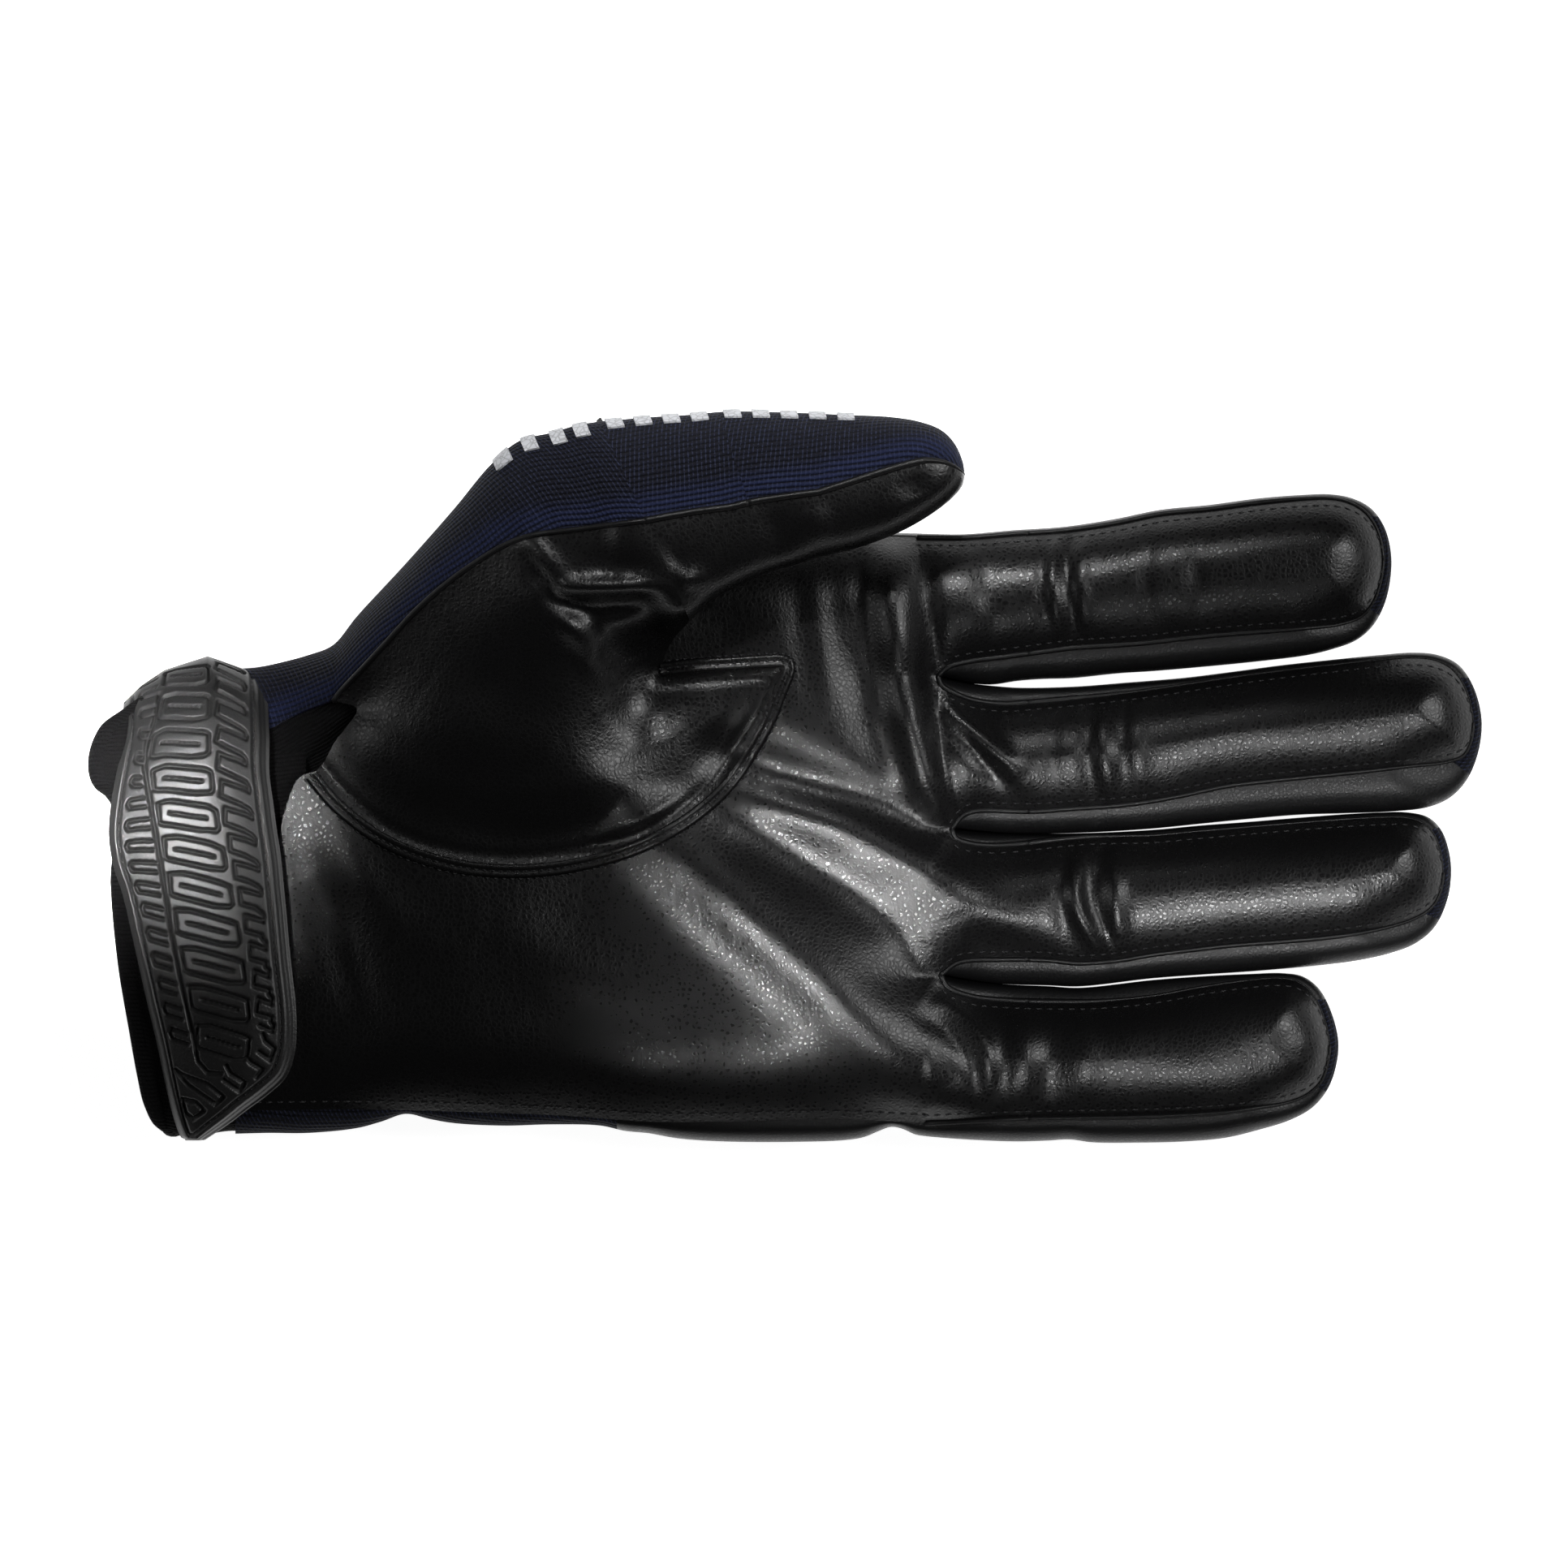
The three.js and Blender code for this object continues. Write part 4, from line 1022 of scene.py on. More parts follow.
def make_finger(name):
    digit = DIGITS[name]
    share = np.linspace(0, 1, FRONT_COLUMNS)[None, :, None]
    opens = (name == "index", name == "little")
    zones = {
        "base": ("hand", f"{name}_base", KNUCKLE_ZONE),
        "tip": (f"{name}_base", f"{name}_tip", BEND_ZONE),
    }

    for part, zone in zones.items():
        sides = digit.sides_of(part)
        count, sharpen = FINGER_ROWS[part]
        ups, lows = paired(sides[0], sides[1], count, sharpen)
        plan = mix(ups[:, None, :], lows[:, None, :], share)
        if part == "base":
            root = resample(digit.root, FRONT_COLUMNS)
            change = root - plan[0]
            fade = (1 - np.linspace(0, 1, count)) ** 1.5
            plan = plan + fade[:, None, None] * change[None]
        panel(f"{name}_{part}_front", with_height(plan), PALM_LEATHER, UP, between=zone)

        # Side walls, with a knit band round the fingertip between them
        backs = []
        bands = []
        for side, label in ((0, "thumbward"), (1, "outward")):
            seam_line, edge_line = sides[side], sides[2 + side]
            rows = int(arc_lengths(edge_line)[-1] / WALL_STEP)
            seam_points, edge_points = paired(seam_line, edge_line, rows, sharpen)
            back_points = back_line(edge_points, opens[side] or part == "tip", side == 1)
            if part == "tip":
                back_points[-1] = [edge_points[-1, 0] - BACK_INSET, edge_points[-1, 1]]
            backs.append(back_points)
            walls = wall_rows(seam_points, edge_points, back_points, front_height(seam_points))
            if part == "tip":
                end = int(np.argmax(edge_points[:, 0] > edge_points[-1, 0] - TIP_BAND))
                bands.append(walls[end - 1 :])
                walls = walls[:end]
            out = (0, 1 if side == 0 else -1, 0)
            panel(f"{name}_{part}_{label}_side", walls, SIDE_LEATHER, out, between=zone)

        first, second = paired(*backs, count, sharpen)
        back_plan = mix(first[:, None, :], second[:, None, :], share)[:, ::2]
        back_rows = with_height(back_plan, lambda places, lines=backs: back_height(places, lines))
        back = sheet_grid(f"{name}_{part}_back", back_rows, WALL, KNIT, DOWN)
        if bands:
            band_rows = np.concatenate([bands[0], bands[1][::-1][1:]])
            band = sheet_grid(f"{name}_tip_band", band_rows, WALL, KNIT, (1, 0, 0))
            back = joined(f"{name}_{part}_back", [back, band])
        keep(back, [f"{name}_{part}_back"], "knit", between=zone)

        # Rolled welts on the front's seams
        welts = []
        for side in (0, 1):
            line = resample(sides[side], step=0.6)
            z = front_height(line) + WELT_LIFT
            radius = np.full(len(line), WELT_RADIUS)
            if side == 0 and name != "index":
                radius *= mix(1.0, 0.45, ease(line[:, 0], *WELT_THINS))
            if part == "tip":
                radius *= mix(1.0, 0.55, ease(line[:, 0], line[-1, 0] - 22, line[-1, 0] - 6))
            line = np.column_stack([line, z])
            welts.append(tube(f"{name}_{part}_welt_{side}", line, radius, SIDE_LEATHER))
        keep(joined(f"{name}_{part}_welts", welts), [], "side_leather", between=zone)

        # Stitches beside the seams
        rows = []
        for line, other in ((sides[0], lows), (sides[1], ups)):
            own = resample(line, count)
            reach = np.linalg.norm(other - own, axis=1, keepdims=True)
            row = own + (other - own) * (SEAM_ALLOWANCE / np.maximum(reach, 3.5))
            row = row[reach[:, 0] > STITCHED_WIDTH]
            rows.append(np.column_stack([row, front_height(row) + 0.02]))
        stitches = stitch_rows(f"{name}_{part}_stitches", rows, 1.8, 1.2, 0.32, 7)
        keep(stitches, [], "side_leather", between=zone)


for finger_name in OUTLINES:
    make_finger(finger_name)


# Hand

THENAR_SEAM = [
    (390, 950), (420, 985), (480, 1030), (560, 1058), (640, 1065), (720, 1055), (800, 1028),
    (880, 973), (935, 893), (955, 845), (965, 822),
]
THENAR_TOP = [(965, 822), (900, 826), (850, 829), (815, 833)]
THENAR_CURL = [(815, 833), (817, 815), (828, 790), (850, 765)]
KNIT_SEAM = [
    (411, 864), (419, 853), (447, 823), (473, 795), (520, 745), (580, 697), (640, 664),
    (720, 651), (797, 641),
]
THENAR_WRIST = [(390, 950), (400, 938), (411, 916), (425, 898), (440, 873), (411, 864)]
KNIT_WRIST = [(290, 886), (310, 895), (328, 899), (350, 888), (371, 877), (392, 869), (411, 864)]
OUTER_THUMB_EDGE = [
    (290, 824), (318, 822), (355, 814), (380, 807), (410, 795), (440, 759), (500, 694),
    (560, 626), (605, 572), (640, 543), (680, 533), (710, 524), (740, 519),
]
ROOT_CUT = [(740, 519), (850, 765)]
THUMB_OUTER = [
    (740, 519), (800, 514), (850, 511), (895, 507), (980, 508.5), (1040, 511), (1100, 514),
    (1135, 520), (1160, 530), (1176, 546), (1186, 568), (1189, 585),
]
THUMB_INNER = [
    (850, 765), (880, 738), (940, 709), (1000, 690), (1060, 674), (1110, 655), (1150, 632),
    (1175, 612), (1186, 598), (1189, 585),
]
THUMB_Z = 36.3
THUMB_HALF = 9.0
THUMB_SQUARENESS = 2.35
WRIST_LINE = [
    (290, 1368), (310, 1320), (325, 1255), (332, 1200), (342, 1050), (355, 985), (370, 957),
    (390, 950),
]

thenar_seam = traced(THENAR_SEAM)
thenar_top = traced(THENAR_TOP)
thenar_curl = traced(THENAR_CURL)
knit_seam = traced(KNIT_SEAM)
knit_start = traced(KNIT_WRIST)
outer_edge = traced(OUTER_THUMB_EDGE)
root_cut = at(ROOT_CUT)
outer_seam = traced(OUTER_SEAM)
outer_side = traced(OUTER_EDGE)


def join_lines(*lines):
    """Lines end to end, each with its step, as one outline without doubled points."""
    points = np.vstack([resample(line, step=step) for line, step in lines])
    gap = np.linalg.norm(points - np.roll(points, 1, axis=0), axis=1)
    return points[gap > 0.02]


def thumb_profile(share):
    """Height over the thumb's middle at a share of the way from its outer to its inner edge."""
    across = np.clip(np.abs(2 * np.asarray(share) - 1), 0, 1)
    return (1 - across**THUMB_SQUARENESS) ** (1 / THUMB_SQUARENESS)


# The mound rises from the palm's seam to the thumb: heights over points in plan
MOUND_HEIGHTS = [
    (411, 864, 23.4), (440, 873, 24.0), (411, 916, 23.6), (400, 938, 23.2), (447, 823, 26.2),
    (520, 745, 31.6), (580, 697, 35.8), (640, 664, 39.3), (720, 651, 42.6), (797, 641, 45.2),
    (460, 900, 26.0), (520, 900, 28.6), (600, 850, 31.4), (600, 950, 28.8), (600, 760, 35.4),
    (700, 740, 40.4), (700, 850, 32.6), (700, 950, 29.4), (690, 1010, 27.4), (520, 980, 26.8),
    (790, 860, 27.0), (750, 865, 29.6), (800, 950, 27.4), (880, 900, 25.4), (780, 790, 34.6),
    (790, 700, 43.6), (830, 740, 41.0), (850, 765, 36.3), (828, 790, 31.0), (817, 815, 27.0),
    (930, 850, 24.6), (870, 860, 25.6), (745, 800, 33.8), (760, 930, 28.0),
]
SPLINE_SOFTNESS = 2.0


def spline_surface(points, heights):
    """A thin-plate surface through heights over points in plan."""
    points = np.asarray(points, float)
    gap2 = ((points[:, None] - points[None]) ** 2).sum(2)
    kernel = 0.5 * gap2 * np.log(gap2 + 1e-9)
    kernel[np.diag_indices(len(points))] = SPLINE_SOFTNESS
    flat = np.column_stack([np.ones(len(points)), points])
    system = np.block([[kernel, flat], [flat.T, np.zeros((3, 3))]])
    weights = np.linalg.solve(system, np.concatenate([heights, [0, 0, 0]]))

    def surface(places):
        gap2 = ((places[:, None] - points[None]) ** 2).sum(2)
        kernel = 0.5 * gap2 * np.log(gap2 + 1e-9)
        return kernel @ weights[:-3] + weights[-3] + places @ weights[-2:]

    return surface


LIP = 0.75
mound_rim = np.vstack([thenar_seam, thenar_top[1:]])
rim = resample(mound_rim, step=6)
mound_places = np.vstack([at([(x, y) for x, y, _ in MOUND_HEIGHTS]), rim])
mound_values = np.concatenate([[z for _, _, z in MOUND_HEIGHTS], front_height(rim) + LIP])
mound_surface = spline_surface(mound_places, mound_values)
cut_length = np.linalg.norm(root_cut[1] - root_cut[0])
cut_along = (root_cut[1] - root_cut[0]) / cut_length
cut_across = np.array([-cut_along[1], cut_along[0]])


def mound_height(places):
    """Height of the leather over the thumb mound."""
    past = (places - root_cut[0]) @ cut_across
    share = (places - root_cut[0]) @ cut_along / cut_length
    thumb_top = THUMB_Z + THUMB_HALF * thumb_profile(share)
    near_seam = nearest(places, mound_rim)
    seam_level = front_height(places) + LIP
    height = mix(seam_level, mound_surface(places), ease(near_seam, 0.0, 13.0))
    curl = nearest(places, thenar_curl)
    beside_seam = ease(near_seam, 0, 3)
    height = height + folds(places) * beside_seam + ripple(places) * beside_seam
    on_thumb = ease(past, -7, 0) * ease(share, 0.0, 0.2) * (1 - ease(share, 0.93, 1.04))
    height = mix(height, thumb_top, on_thumb)
    trough = 0.5 * (1 - ease(near_seam, 1.2, 3.2)) * ease(near_seam, 0.0, 1.2)
    return height - trough - 0.3 * (1 - ease(curl, 0, 2))


# The palm sheet runs on under the thumb as far as the hand's side.
roots = np.vstack([*(digit.root[:-1] for digit in DIGITS.values()), DIGITS["little"].root[-1:]])
side_seam = traced(THUMB_SIDE_SEAM)
hidden_edge = np.vstack([side_seam[-1], thenar_curl[-1]])
wrist_line = traced(WRIST_LINE)
palm_outline = join_lines(
    (thenar_seam, 0.7), (thenar_top, 0.7), (thenar_curl, 0.7), (hidden_edge[::-1], 0.8),
    (side_seam[::-1], 0.7), (roots, 0.55), (outer_seam, 0.7), (wrist_line, 0.8),
)
places, triangles = region_mesh(palm_outline, 0.85)
palm = shell("palm_leather", with_height(places), triangles, WALL, PALM_LEATHER, UP)
keep(palm, ["palm_leather"], "palm_leather", body="hand")

across_thumb = np.vstack([root_cut[1], knit_seam[-1]])
thenar_wrist = traced(THENAR_WRIST)
thenar_outline = join_lines(
    (thenar_seam, 0.7), (thenar_top, 0.7), (thenar_curl, 0.5), (across_thumb, 0.5),
    (knit_seam[::-1], 0.7), (thenar_wrist[::-1], 0.7),
)
places, triangles = region_mesh(thenar_outline, 0.8)
thenar_points = with_height(places, mound_height)
thenar = shell("thenar_leather", thenar_points, triangles, WALL, PALM_LEATHER, UP)
keep(thenar, ["thenar_leather"], "palm_leather", body="hand")

# The rolled welt along the palm's side of the mound's seam
welt_line = resample(mound_rim, step=0.6)
welt_turn = unit(np.gradient(welt_line, axis=0))
for _ in range(3):
    welt_turn[1:-1] = (welt_turn[:-2] + welt_turn[1:-1] + welt_turn[2:]) / 3
welt_side = unit(np.column_stack([welt_turn[:, 1], -welt_turn[:, 0]]))


def beside_welt(distance, lift):
    """A line along the welt at a distance from the seam, over the palm."""
    plan = welt_line + welt_side * distance
    return with_height(plan) + [0, 0, lift]


WELT_SECTION = [
    (-0.25, -0.35), (-0.2, 0.45), (0.15, 0.85), (0.5, 0.95), (0.85, 0.8), (1.15, 0.55),
    (1.45, 0.6), (1.8, 0.72), (2.1, 0.62), (2.35, 0.3), (2.5, -0.25),
]
welt = np.array([beside_welt(d, lift) for d, lift in WELT_SECTION]).transpose(1, 0, 2)
keep(sheet_grid("thenar_welt", welt, 0.5, PALM_LEATHER, UP), [], "palm_leather", body="hand")
welt_rows = [beside_welt(1.22, 0.62), beside_welt(2.5, 0.12)]
thenar_stitches = stitch_rows("thenar_stitches", welt_rows, 1.4, 0.95, 0.34, 3)
keep(thenar_stitches, [], "side_leather", body="hand")


# Thumb

thumb_outer = traced(THUMB_OUTER)
thumb_inner = traced(THUMB_INNER)
SEAM_SHARES = ([0, 0.1, 0.25, 0.5, 0.7, 0.82, 0.92, 1], [0.496, 0.53, 0.565, 0.56, 0.46, 0.4, 0.41, 0.45])
KNIT_UNDER_SHARE = 0.42
LEATHER_COLUMNS, KNIT_COLUMNS = 64, 48
THUMB_CUT = 0.3
OUTER_RISE = ([-90, -77, -70, -62.7, -56.3, -48.7, -39.5, -31.7], [0, 0, 0.14, 0.4, 0.62, 0.82, 0.94, 1])


def profile_angle(share):
    """The angle round the thumb's section at a share of the way across it."""
    across = 1 - 2 * share
    return math.acos(math.copysign(abs(across) ** (THUMB_SQUARENESS / 2), across))


def thumb_section(along, angles):
    """Points round the thumb at a share of its length. Angle 0 is the outer edge."""
    o = resample(thumb_outer, stops=[along])[0]
    i = resample(thumb_inner, stops=[along])[0]
    closing = math.sqrt(max(0.0, 1 - max(0.0, (along - 0.7) / 0.3) ** 2))
    power = 2 / THUMB_SQUARENESS
    share = (1 - squarish(np.cos(angles), power)) / 2
    plan = o + (i - o) * share[:, None]
    z = THUMB_Z - (1 - closing) + THUMB_HALF * closing * squarish(np.sin(angles), power)
    upper = np.clip(np.sin(angles), 0, 1) * ease(along, 0.0, 0.05)
    z = z + (folds(plan) + ripple(plan)) * upper
    return np.column_stack([plan, z])


def thumb_rows(start, stop, count, angles_of):
    """Sections of the thumb, closer together towards its tip."""
    stops = np.linspace(start, stop, count)
    if stop == 1:
        stops = start + (stop - start) * np.sin(np.linspace(0, math.pi / 2, count))
    return np.array([thumb_section(s, angles_of(s)) for s in stops])


def thumb_seam_angle(along):
    return profile_angle(np.interp(along, *SEAM_SHARES))


def leather_angles(along):
    end = 2 * math.pi - profile_angle(KNIT_UNDER_SHARE)
    return np.linspace(thumb_seam_angle(along), end, LEATHER_COLUMNS)


def knit_angles(along):
    return np.linspace(-profile_angle(KNIT_UNDER_SHARE), thumb_seam_angle(along), KNIT_COLUMNS)


def paint_seam_highlight(piece, rows, seam_column):
    """Note how near each point of a knit piece lies to its leather seam, for the painted navy highlight
    that the knit finish lays along it.
    """
    distance = np.linalg.norm(rows - rows[:, seam_column][:, None], axis=2).ravel()
    near = (0.35 + 0.65 * ease(distance, 0.2, 1.8)) * (1 - ease(distance, 2.4, 6.4))
    marks = piece.data.attributes.new("seam", "FLOAT", "POINT")
    marks.data.foreach_set("value", np.concatenate([near, near]))


SPREAD_ZONE = ((-23.2, 45.6, 36), (-9.9, 51.2, 36))
THUMB_BEND_ZONE = ((-5.5, 51.0, 36), (8.2, 54.3, 36))
THUMB_PARTS = {
    "base": (0, THUMB_CUT, 34, ("hand", "thumb_base", SPREAD_ZONE)),
    "tip": (THUMB_CUT, 1, 74, ("thumb_base", "thumb_tip", THUMB_BEND_ZONE)),
}
for part, (start, stop, count, zone) in THUMB_PARTS.items():
    rows = thumb_rows(start, stop, count, leather_angles)
    panel(f"thumb_{part}_front", rows, PALM_LEATHER, (0, -1, 0.3), between=zone)
    rows = thumb_rows(start, stop, count, knit_angles)
    back = panel(f"thumb_{part}_back", rows, KNIT, (0, 1, 0.3), between=zone)
    paint_seam_highlight(back, rows, -1)
    stops = np.linspace(start, stop * 0.995, count)
    seam = np.array([thumb_section(s, np.array([thumb_seam_angle(s)]))[0] for s in stops])
    radius = WELT_RADIUS * (1 - ease(np.linspace(start, stop, count), 0.8, 1.0)) + 0.12
    keep(tube(f"thumb_{part}_welt", seam, radius, SIDE_LEATHER), [], "side_leather", between=zone)

# Knit from the wrist up to the thumb, between the mound and the back of the hand
KNIT_ROWS, KNIT_UPPER, KNIT_LOWER = 96, 22, 14
WRIST_EDGE_Z, WRIST_TOP_Z = 12.0, 19.2
# The seam with the back of the hand: places along X, and how far out it lies there
BACK_SEAM_PLAN = ([-94, -88, -80, -70, -62, -55, -40], [16, 17.5, 20, 28.5, 36, 40, 41.3])
knit_top = resample(np.vstack([knit_start[:-1], knit_seam]), KNIT_ROWS)
knit_edge = resample(outer_edge, KNIT_ROWS)
rise = np.interp(knit_edge[:, 0], *OUTER_RISE)
edge_z = mix(WRIST_EDGE_Z, THUMB_Z, rise)
back_x = np.linspace(knit_edge[0, 0], -16.5, KNIT_ROWS)
back_seam = np.column_stack([back_x, np.interp(back_x, *BACK_SEAM_PLAN)])
top_z = mix(WRIST_TOP_Z, mound_height(knit_top), ease(knit_top[:, 0], -89, -78))


def side_knit_rows():
    rows = []
    turn = np.linspace(0, math.pi / 2, KNIT_UPPER)
    down = np.linspace(0, 1, KNIT_LOWER)[1:]
    for f, c, b, low, high in zip(knit_top, knit_edge, back_seam, edge_z, top_z):
        row = [np.append(f + (c - f) * math.sin(a), low + (high - low) * math.cos(a)) for a in turn]
        for s in down:
            fall = (BACK_SEAM_Z - low) * (s + 0.12 * math.sin(math.pi * s))
            row.append(np.append(c + (b - c) * s**1.4, low + fall))
        rows.append(row)
    rows = np.array(rows)
    # The last rows take on the thumb's own section, so the two meet.
    section = thumb_section(0.0, np.linspace(thumb_seam_angle(0.0), 0, KNIT_UPPER))
    change = section - rows[-1, :KNIT_UPPER]
    fade = ease(np.arange(KNIT_ROWS), KNIT_ROWS - 14, KNIT_ROWS - 1)[:, None, None]
    rows[:, :KNIT_UPPER] += fade * change[None]
    rows[:, KNIT_UPPER:] += fade * change[-1] * (1 - down)[None, :, None]
    return rows


knit_rows = side_knit_rows()
side_knit = panel("thumb_side_knit", knit_rows, KNIT, (0, 1, 0.2), body="hand")
paint_seam_highlight(side_knit, knit_rows, 0)
mound_seam = with_height(resample(knit_seam, step=0.7), mound_height) + [0, 0, WELT_LIFT]
keep(tube("mound_welt", mound_seam, WELT_RADIUS, SIDE_LEATHER), [], "side_leather", body="hand")


def raised(rows, lift, outward):
    """Rows of points moved outwards from their own surface."""
    normals = point_normals(rows.reshape(-1, 3), grid_faces(*rows.shape[:2])).reshape(rows.shape)
    side = 1 if (normals * np.asarray(outward, float)).sum() > 0 else -1
    return rows + side * lift * normals


def print_bars(name, patches, **moves):
    """Plain raised bars over patches of the surface."""
    out = (0, 1, 0)
    bars = [
        sheet_grid(f"{name}_{k}", raised(rows, BAR_HEIGHT / 2, out), BAR_HEIGHT, PRINT, out)
        for k, rows in enumerate(patches)
    ]
    keep(joined(name, bars), [], "knit", **moves)


def thumb_bar(start):
    """The patch of one bar on the thumb, from a share of the thumb's length."""
    angles = np.linspace(-0.5, 0.44, 12)
    return np.array([thumb_section(s, angles) for s in np.linspace(start, start + 0.043, 7)])


BAR_HEIGHT = 0.8
HAND_BARS = (-50.2, -45.7, -41.2, -36.7)
HAND_BAR_LENGTH = 3.0
THUMB_BARS = {"base": (0.01, 0.082, 0.154, 0.226), "tip": (0.31, 0.382, 0.454, 0.526, 0.598)}
row_x = knit_rows[:, KNIT_UPPER - 1, 0]
hand_bars = [knit_rows[(row_x > x) & (row_x < x + HAND_BAR_LENGTH), 14:27] for x in HAND_BARS]
print_bars("hand_print", hand_bars, body="hand")
for part, starts in THUMB_BARS.items():
    zone = THUMB_PARTS[part][-1]
    print_bars(f"thumb_{part}_print", [thumb_bar(s) for s in starts], between=zone)

# The web between the thumb's underside and the hand
WEB_COLUMNS = 40
WEB_BOW = 0.8
upper_rim = thumb_section(0.0, np.linspace(-0.2, 0.15 - math.pi, WEB_COLUMNS))
lower_rim = np.vstack([
    upper_rim[:1],
    knit_rows[-1, KNIT_UPPER + 2 :],
    [[-16.0, 42.6, 10.0], [-16.0, 42.9, 13.0], [-16.0, 42.0, 17.0]],
    with_height(resample(hidden_edge, 8)),
])
lower_rim = resample(lower_rim, WEB_COLUMNS)
spans = np.linspace(0, 1, 9)[:, None]
web_rows = mix(upper_rim[None], lower_rim[None], spans[..., None])
bow = np.sin(np.linspace(0, math.pi, WEB_COLUMNS))[None]
web_rows[:, :, 0] -= WEB_BOW * np.sin(spans * math.pi) * bow
# Its edge beside the mound follows the mound's curl down to the palm.
curl = resample(thenar_curl[::-1], stops=np.linspace(0.05, 0.9, 12))
curl_upper = with_height(curl, mound_height) - [0, 0, 0.3]
curl_rows = mix(curl_upper[None], with_height(curl)[None], spans[..., None])
web_rows = np.hstack([web_rows, curl_rows])
web = sheet_grid("thumb_web", web_rows, WALL, SIDE_LEATHER, (1, 0, 0))
keep(web, [], "side_leather", body="hand")

# Side of the hand beside the index finger
index_edge = traced(THUMB_SIDE_EDGE[::-1])
index_seam = traced(THUMB_SIDE_SEAM[::-1])
tucked = at([(812, 663), (832, 655.5)])
seam_line = np.vstack([tucked - [0, 0.8], index_seam])
seam_points, edge_points = paired(seam_line, np.vstack([tucked, index_edge]), 60)
back_points = edge_points + [0, -BACK_INSET]
walls = wall_rows(seam_points, edge_points, back_points, front_height(seam_points))
panel("index_side_leather", walls, SIDE_LEATHER, (0, 1, 0), body="hand")

# Outer side: leather beside the little finger's root, knit towards the wrist
OUTER_SPLIT_X = -28.5
seam_points, edge_points = paired(outer_seam, outer_side, 240)
back_points = back_line(edge_points, True, False, 3.0)
walls = wall_rows(seam_points, edge_points, back_points, front_height(seam_points))
split = int(np.argmax(edge_points[:, 0] < OUTER_SPLIT_X))
panel("outer_side_leather", walls[: split + 1], SIDE_LEATHER, (0, -1, 0), body="hand")
panel("outer_side_knit", walls[split:], KNIT, (0, -1, 0), body="hand")

outer_row = with_height(resample(outer_seam, step=1.0) + [0, 1.4]) + [0, 0, 0.03]
outer_stitches = stitch_rows("outer_stitches", [outer_row], 1.9, 1.3, 0.34, 5)
keep(outer_stitches, [], "side_leather", body="hand")

# Back of the hand
outer_back = back_points
index_back = index_edge + [0, -BACK_INSET]
radial_back = np.vstack([back_seam[back_seam[:, 0] < index_back[0, 0] - 0.5], index_back])
finger_cut = np.vstack([*(digit.root[::6] for digit in DIGITS.values()), outer_back[:1]])
finger_cut[0] = radial_back[-1]
wrist_cut = np.vstack([outer_back[-1], radial_back[0]])
back_lines = (radial_back, finger_cut, outer_back, wrist_cut)
back_outline = join_lines(*((line, 1.2) for line in back_lines))
places, triangles = region_mesh(back_outline, 1.6)
back_z = back_height(places, [radial_back, outer_back])
back_rows = np.column_stack([places, back_z])
back_knit = shell("back_knit", back_rows, triangles, WALL, KNIT, DOWN, places)
keep(back_knit, ["back_knit"], "knit", body="hand")


# Wrist: gusset, cuff and binding

GUSSET_TOP = [(326, 905), (345, 890), (371, 876), (411, 863), (446, 868)]
GUSSET_LOW = [(326, 975), (350, 972), (380, 955), (412, 935), (446, 880)]
CUFF_RADIAL, CUFF_OUTER = 18.0, -61.3
CUFF_TOP = 21.0
CUFF_SQUARENESS = 3.0
CUFF_END_X = -82.5
CUFF_WALL = 1.6
CUFF_ROWS = 44
CUFF_WAVE = 0.35
BINDING_OVERLAP = 2.6
MOUTH = [
    (215, 832), (190, 848), (163, 862), (148, 873), (123, 892), (110, 922), (109, 950),
    (116, 968), (131, 980), (142, 1005), (140, 1040), (137, 1065), (136, 1090), (145, 1189),
    (159, 1274), (169, 1331), (177, 1366), (188, 1388), (200, 1397),
]

GUSSET_ROWS, GUSSET_COLUMNS = 40, 26
gusset_top = resample(traced(GUSSET_TOP), GUSSET_ROWS)
gusset_low = resample(traced(GUSSET_LOW), GUSSET_ROWS)
across = np.linspace(0, 1, GUSSET_COLUMNS)
gusset_plan = mix(gusset_top[:, None], gusset_low[:, None], across[None, :, None])
gusset_start = mix(18.6, 21.6, ease(gusset_top[:, 0], -90, -74))
gusset_z = gusset_start[:, None] - 4.2 * across[None] ** 1.6 + 1.2 * np.sin(across * math.pi)[None]
panel("wrist_gusset", np.dstack([gusset_plan, gusset_z]), ELASTIC, UP, body="hand")


def cuff_ring(angles, grow=0.0):
    """The cuff's section at angles round the wrist: y and z."""
    half_y = (CUFF_RADIAL - CUFF_OUTER) / 2 + grow
    half_z = (CUFF_TOP - BOTTOM_Z) / 2 + grow
    power = 2 / CUFF_SQUARENESS
    y = (CUFF_RADIAL + CUFF_OUTER) / 2 + half_y * squarish(np.cos(angles), power)
    z = (CUFF_TOP + BOTTOM_Z) / 2 + half_z * squarish(np.sin(angles), power)
    return y, z


def cuff_height(y):
    """Height of the cuff's upper side across the wrist."""
    middle, half = (CUFF_RADIAL + CUFF_OUTER) / 2, (CUFF_RADIAL - CUFF_OUTER) / 2
    share = np.clip(np.abs(y - middle) / half, 0, 1)
    rise = (1 - share**CUFF_SQUARENESS) ** (1 / CUFF_SQUARENESS)
    return (CUFF_TOP + BOTTOM_Z) / 2 + (CUFF_TOP - BOTTOM_Z) / 2 * rise


mouth = traced(MOUTH)


def mouth_x(y):
    """Where the mouth's edge lies along the glove, at a place across the wrist."""
    order = np.argsort(mouth[:, 1])
    return np.interp(y, mouth[order, 1], mouth[order, 0])


